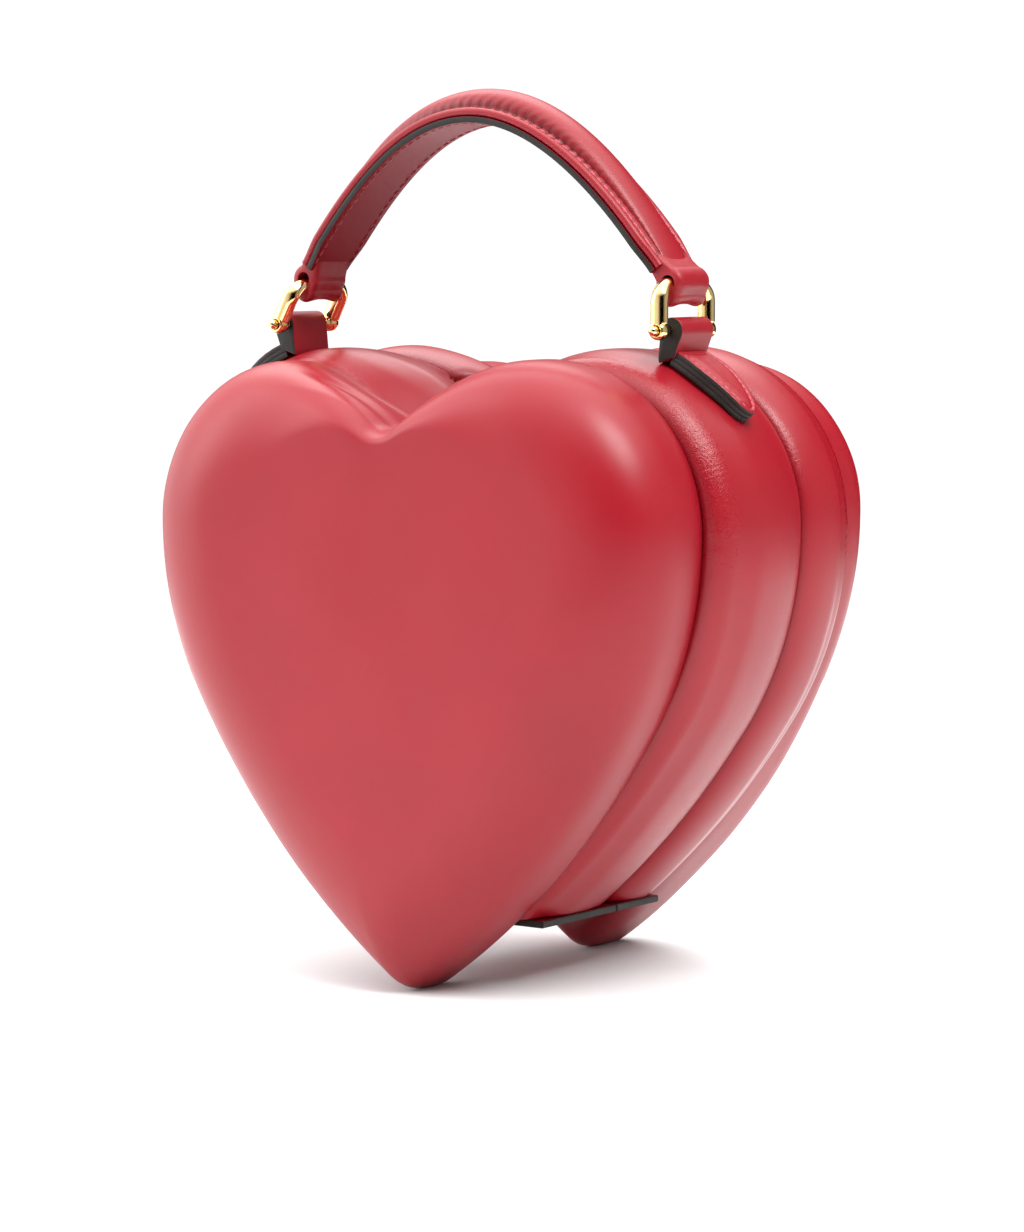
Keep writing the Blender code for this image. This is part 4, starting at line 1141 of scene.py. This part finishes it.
def handle():
    """The arched handle: dark strap below, padded red leather above, stitched along both edges."""
    mesh = grid_mesh(handle_sweep(underside_section, 220), False, True, "flat")
    paint_edges(mesh, lambda normal: abs(normal.y) > 0.8)
    piece("handle_underside", mesh, [DARK_LEATHER, BLACK_EDGE], "handle",
          ("handle_strap",), 40)

    steps = 420
    grid = handle_sweep(top_section, steps)
    places, _, out, shares = handle_frames(steps)
    run = lengths(places)[:, None]
    section = np.array(top_section(0))
    width = np.abs(section[:, 0])
    on_top = section[:, 1] > FOLD_LOW + 0.0013
    border = bell(width, SEAM_W, 0.0006) * on_top
    pucker = bell(width, SEAM_W - 0.0008, 0.0017) * on_top
    waves = 0.5 + 0.5 * np.cos(tau * (run - SEAM_START + 0.9 * (width - SEAM_W)) / SEAM_PITCH)
    gathering = (1 - 0.65 * smooth(np.abs(shares), 0.40, 0.80)[:, None]) * pucker
    lift = -PUCKER_DEPTH * waves * gathering - SEAM_DEPTH * border
    grid += out[:, None, :] * lift[:, :, None]
    mesh = grid_mesh(grid, False, True, "flat")
    # The last value is painted shade in the pucker hollows of the groove along the top seam.
    mark(mesh, grid, run, lengths(section), pucker * 0.5, (0.55 + 0.85 * waves) * gathering)
    piece("handle_top", mesh, [HANDLE_LEATHER], "handle",
                    ("handle_cover", "handle_core"), 60)

    stitch_lines("handle_top_stitches", SEAM_W, BORDER_H - 0.00035, 0.0022, THREAD)
    stitch_lines("handle_underside_stitches", 0.0096, 0.0, 0.0023, DARK_THREAD)


def stitch_lines(name, width, height, length, finish):
    """Two rows of stitches along the handle, near its edges."""
    places, along, out, _ = handle_frames(400)
    run = lengths(places)
    matrices = []
    for lane in (-1, 1):
        for reach in np.arange(SEAM_START, run[-1] - SEAM_START, SEAM_PITCH):
            here, ahead, up = (Vector(at(reach, run, data)) for data in (places, along, out))
            place = here + lane * width * Vector((0, 1, 0)) + height * up
            ahead = Matrix.Rotation(radians(9 * lane), 3, up) @ ahead.normalized()
            matrices.append(basis(place, ahead, up.cross(ahead), up))
    mesh = repeated(stitch_shape(length, 0.0008), matrices)
    piece(name, mesh, [finish], "handle", (), 60)


def handle_end(prefix, side):
    """The leather sleeve that holds one end of the handle on its ring."""
    places, along, out, _ = handle_frames(41)
    end = -1 if side > 0 else 0
    mirror = np.array((side, 1, 1))
    place = (places[end] - (HANDLE_X, 0, 0)) * mirror + (HANDLE_X, 0, 0)
    ahead, up = side * along[end] * mirror, out[end] * mirror
    high = np.array((HANDLE_X + BAR_REACH, BAR_Z + BOW_WIRE + END_SEAT - END_INNER))
    end_low = place - END_TUCK * ahead
    end_high = end_low + END_STRAP * up
    outline = np.concatenate((
        arc(high - (0, END_SLACK), END_LOW_OUTER, -pi, 0, 40),
        arc(high, END_HIGH_OUTER, radians(-20), radians(END_SHOULDER), 24),
        [end_high[::2], end_low[::2]],
        arc(high, END_HIGH_OUTER, radians(175), radians(200), 8)))
    eye = arc(high, END_INNER, 0, tau, 48, False)
    mesh = sleeve(outline, eye, high - (0, 0.0008), END_HALF, END_SOFT, END_SADDLE, 0.00012)
    flip_left(mesh, side, HANDLE_X)
    piece(prefix + "_handle_end", mesh, [SMALL_LEATHER], "handle",
          (prefix + "_handle_loop",), 60)


# ---- the bag

def dress_nodes():
    """Finishes for the model's own pieces that stay in view."""
    for name in ("rear_pad_board", "left_zip_slider", "right_zip_slider", "left_zip_pull",
                 "right_zip_pull"):
        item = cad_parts[name]
        finish = BOARD if name == "rear_pad_board" else GOLD
        item.data.materials.clear()
        item.data.materials.append(finish.material)
        if finish is GOLD:
            soften = item.modifiers.new("soft edges", "BEVEL")
            soften.width = 0.00025
            soften.segments = 3
            soften.limit_method = "ANGLE"


def make_bag():
    padded_heart("front", FRONT_PAD, FRONT_SECTION, -1, "body")
    front_board()
    padded_heart("rear", REAR_PAD, REAR_SECTION, 1, "lid")
    padded_roll("wide_roll", -ROLL_FACE_Y, ZIP_Y - LIP_GAP, "body")
    padded_roll("narrow_roll", ROLL_FACE_Y, ZIP_Y + LIP_GAP, "lid")
    for body, start, end in (("body", -ROLL_FACE_Y, ZIP_Y - CREASE_HALF),
                             ("lid", ZIP_Y + CREASE_HALF, ROLL_FACE_Y)):
        section = [(LINING_INSET, start), (LINING_INSET, end), (LINING_INSET + CLOTH, end),
                   (LINING_INSET + CLOTH, start)]
        gusset_band(body + "_lining", section, LINING, body,
                    body + "_gusset_lining")
    lining_panel("front_lining", -1, "body")
    lining_panel("rear_lining", 1, "lid")
    zip_side("body", -1)
    zip_side("lid", 1)
    base_half("front_base", -ROLL_FACE_Y, ZIP_Y - ZIP_SPLIT, "body")
    base_half("rear_base", ZIP_Y + ZIP_SPLIT, ROLL_FACE_Y, "lid")
    ring("left", (-RING_X, RING_Y, RING_Z), RING_LEAN_LEFT)
    ring("right", (RING_X, RING_Y, RING_Z), RING_LEAN_RIGHT)
    tab("left", -1)
    tab("right", 1)
    handle()
    handle_end("left", -1)
    handle_end("right", 1)
    dress_nodes()


# ---- studio

def studio():
    """Pale floor, a world of soft glows that the camera sees as white, and one light."""
    shape = bmesh.new()
    bmesh.ops.create_circle(shape, cap_ends=True, segments=96, radius=FLOOR_RADIUS)
    floor = placed("floor", mesh_of(shape))
    finish = Finish("floor_paper", {"Roughness": 0.7, "Specular IOR Level": 0.2})
    speck = finish.noise(60.0, 3.0)
    finish.feed({"Base Color": finish.mix(speck, srgb(226, 231, 231), srgb(230, 235, 235))})
    floor.data.materials.append(finish.material)

    scene = bpy.context.scene
    scene.world = bpy.data.worlds.new("studio")
    scene.world.use_nodes = True
    sky = Nodes(scene.world.node_tree)
    sky.tree.nodes.clear()
    direction = sky.node("ShaderNodeTexCoord", {}, {}, "Generated")
    glow = 0.0
    for turn, rise, low, high, strength in GLOWS:
        turn, rise = radians(turn), radians(rise)
        level = cos(rise)
        aim = (level * sin(turn), -level * cos(turn), sin(rise))
        facing = sky.node("ShaderNodeVectorMath", {"operation": "DOT_PRODUCT"},
                          {0: direction, 1: aim}, "Value")
        glow = glow + strength * facing.rise(low, high)
    lit, seen = (sky.node("ShaderNodeBackground", {}, {"Color": (1, 1, 1, 1), "Strength": strength})
                 for strength in (glow, 1.05))
    camera_ray = sky.node("ShaderNodeLightPath", {}, {}, "Is Camera Ray")
    mixed = sky.node("ShaderNodeMixShader", {}, {0: camera_ray, 1: lit, 2: seen})
    sky.node("ShaderNodeOutputWorld", {}, {"Surface": mixed}, None)

    light = bpy.data.lights.new("key_left", "AREA")
    light.shape = "RECTANGLE"
    light.size, light.size_y = 1.0, 1.9
    light.energy = KEY_POWER
    key = placed("key_left", light)
    key.location = KEY_PLACE
    key.rotation_mode = "QUATERNION"
    key.rotation_quaternion = (Vector(KEY_AIM) - Vector(KEY_PLACE)).to_track_quat("-Z", "Y")
    scene.view_settings.view_transform = "Standard"


def place_camera():
    data = bpy.data.cameras.new("camera")
    data.lens = 124.9
    data.sensor_width = 36.0
    item = placed("camera", data)
    item.location = (0.7990, -1.1411, 0.2436)
    item.rotation_euler = (radians(90 - 5.25), 0, radians(35.02))
    bpy.context.scene.camera = item


make_bag()
studio()
place_camera()
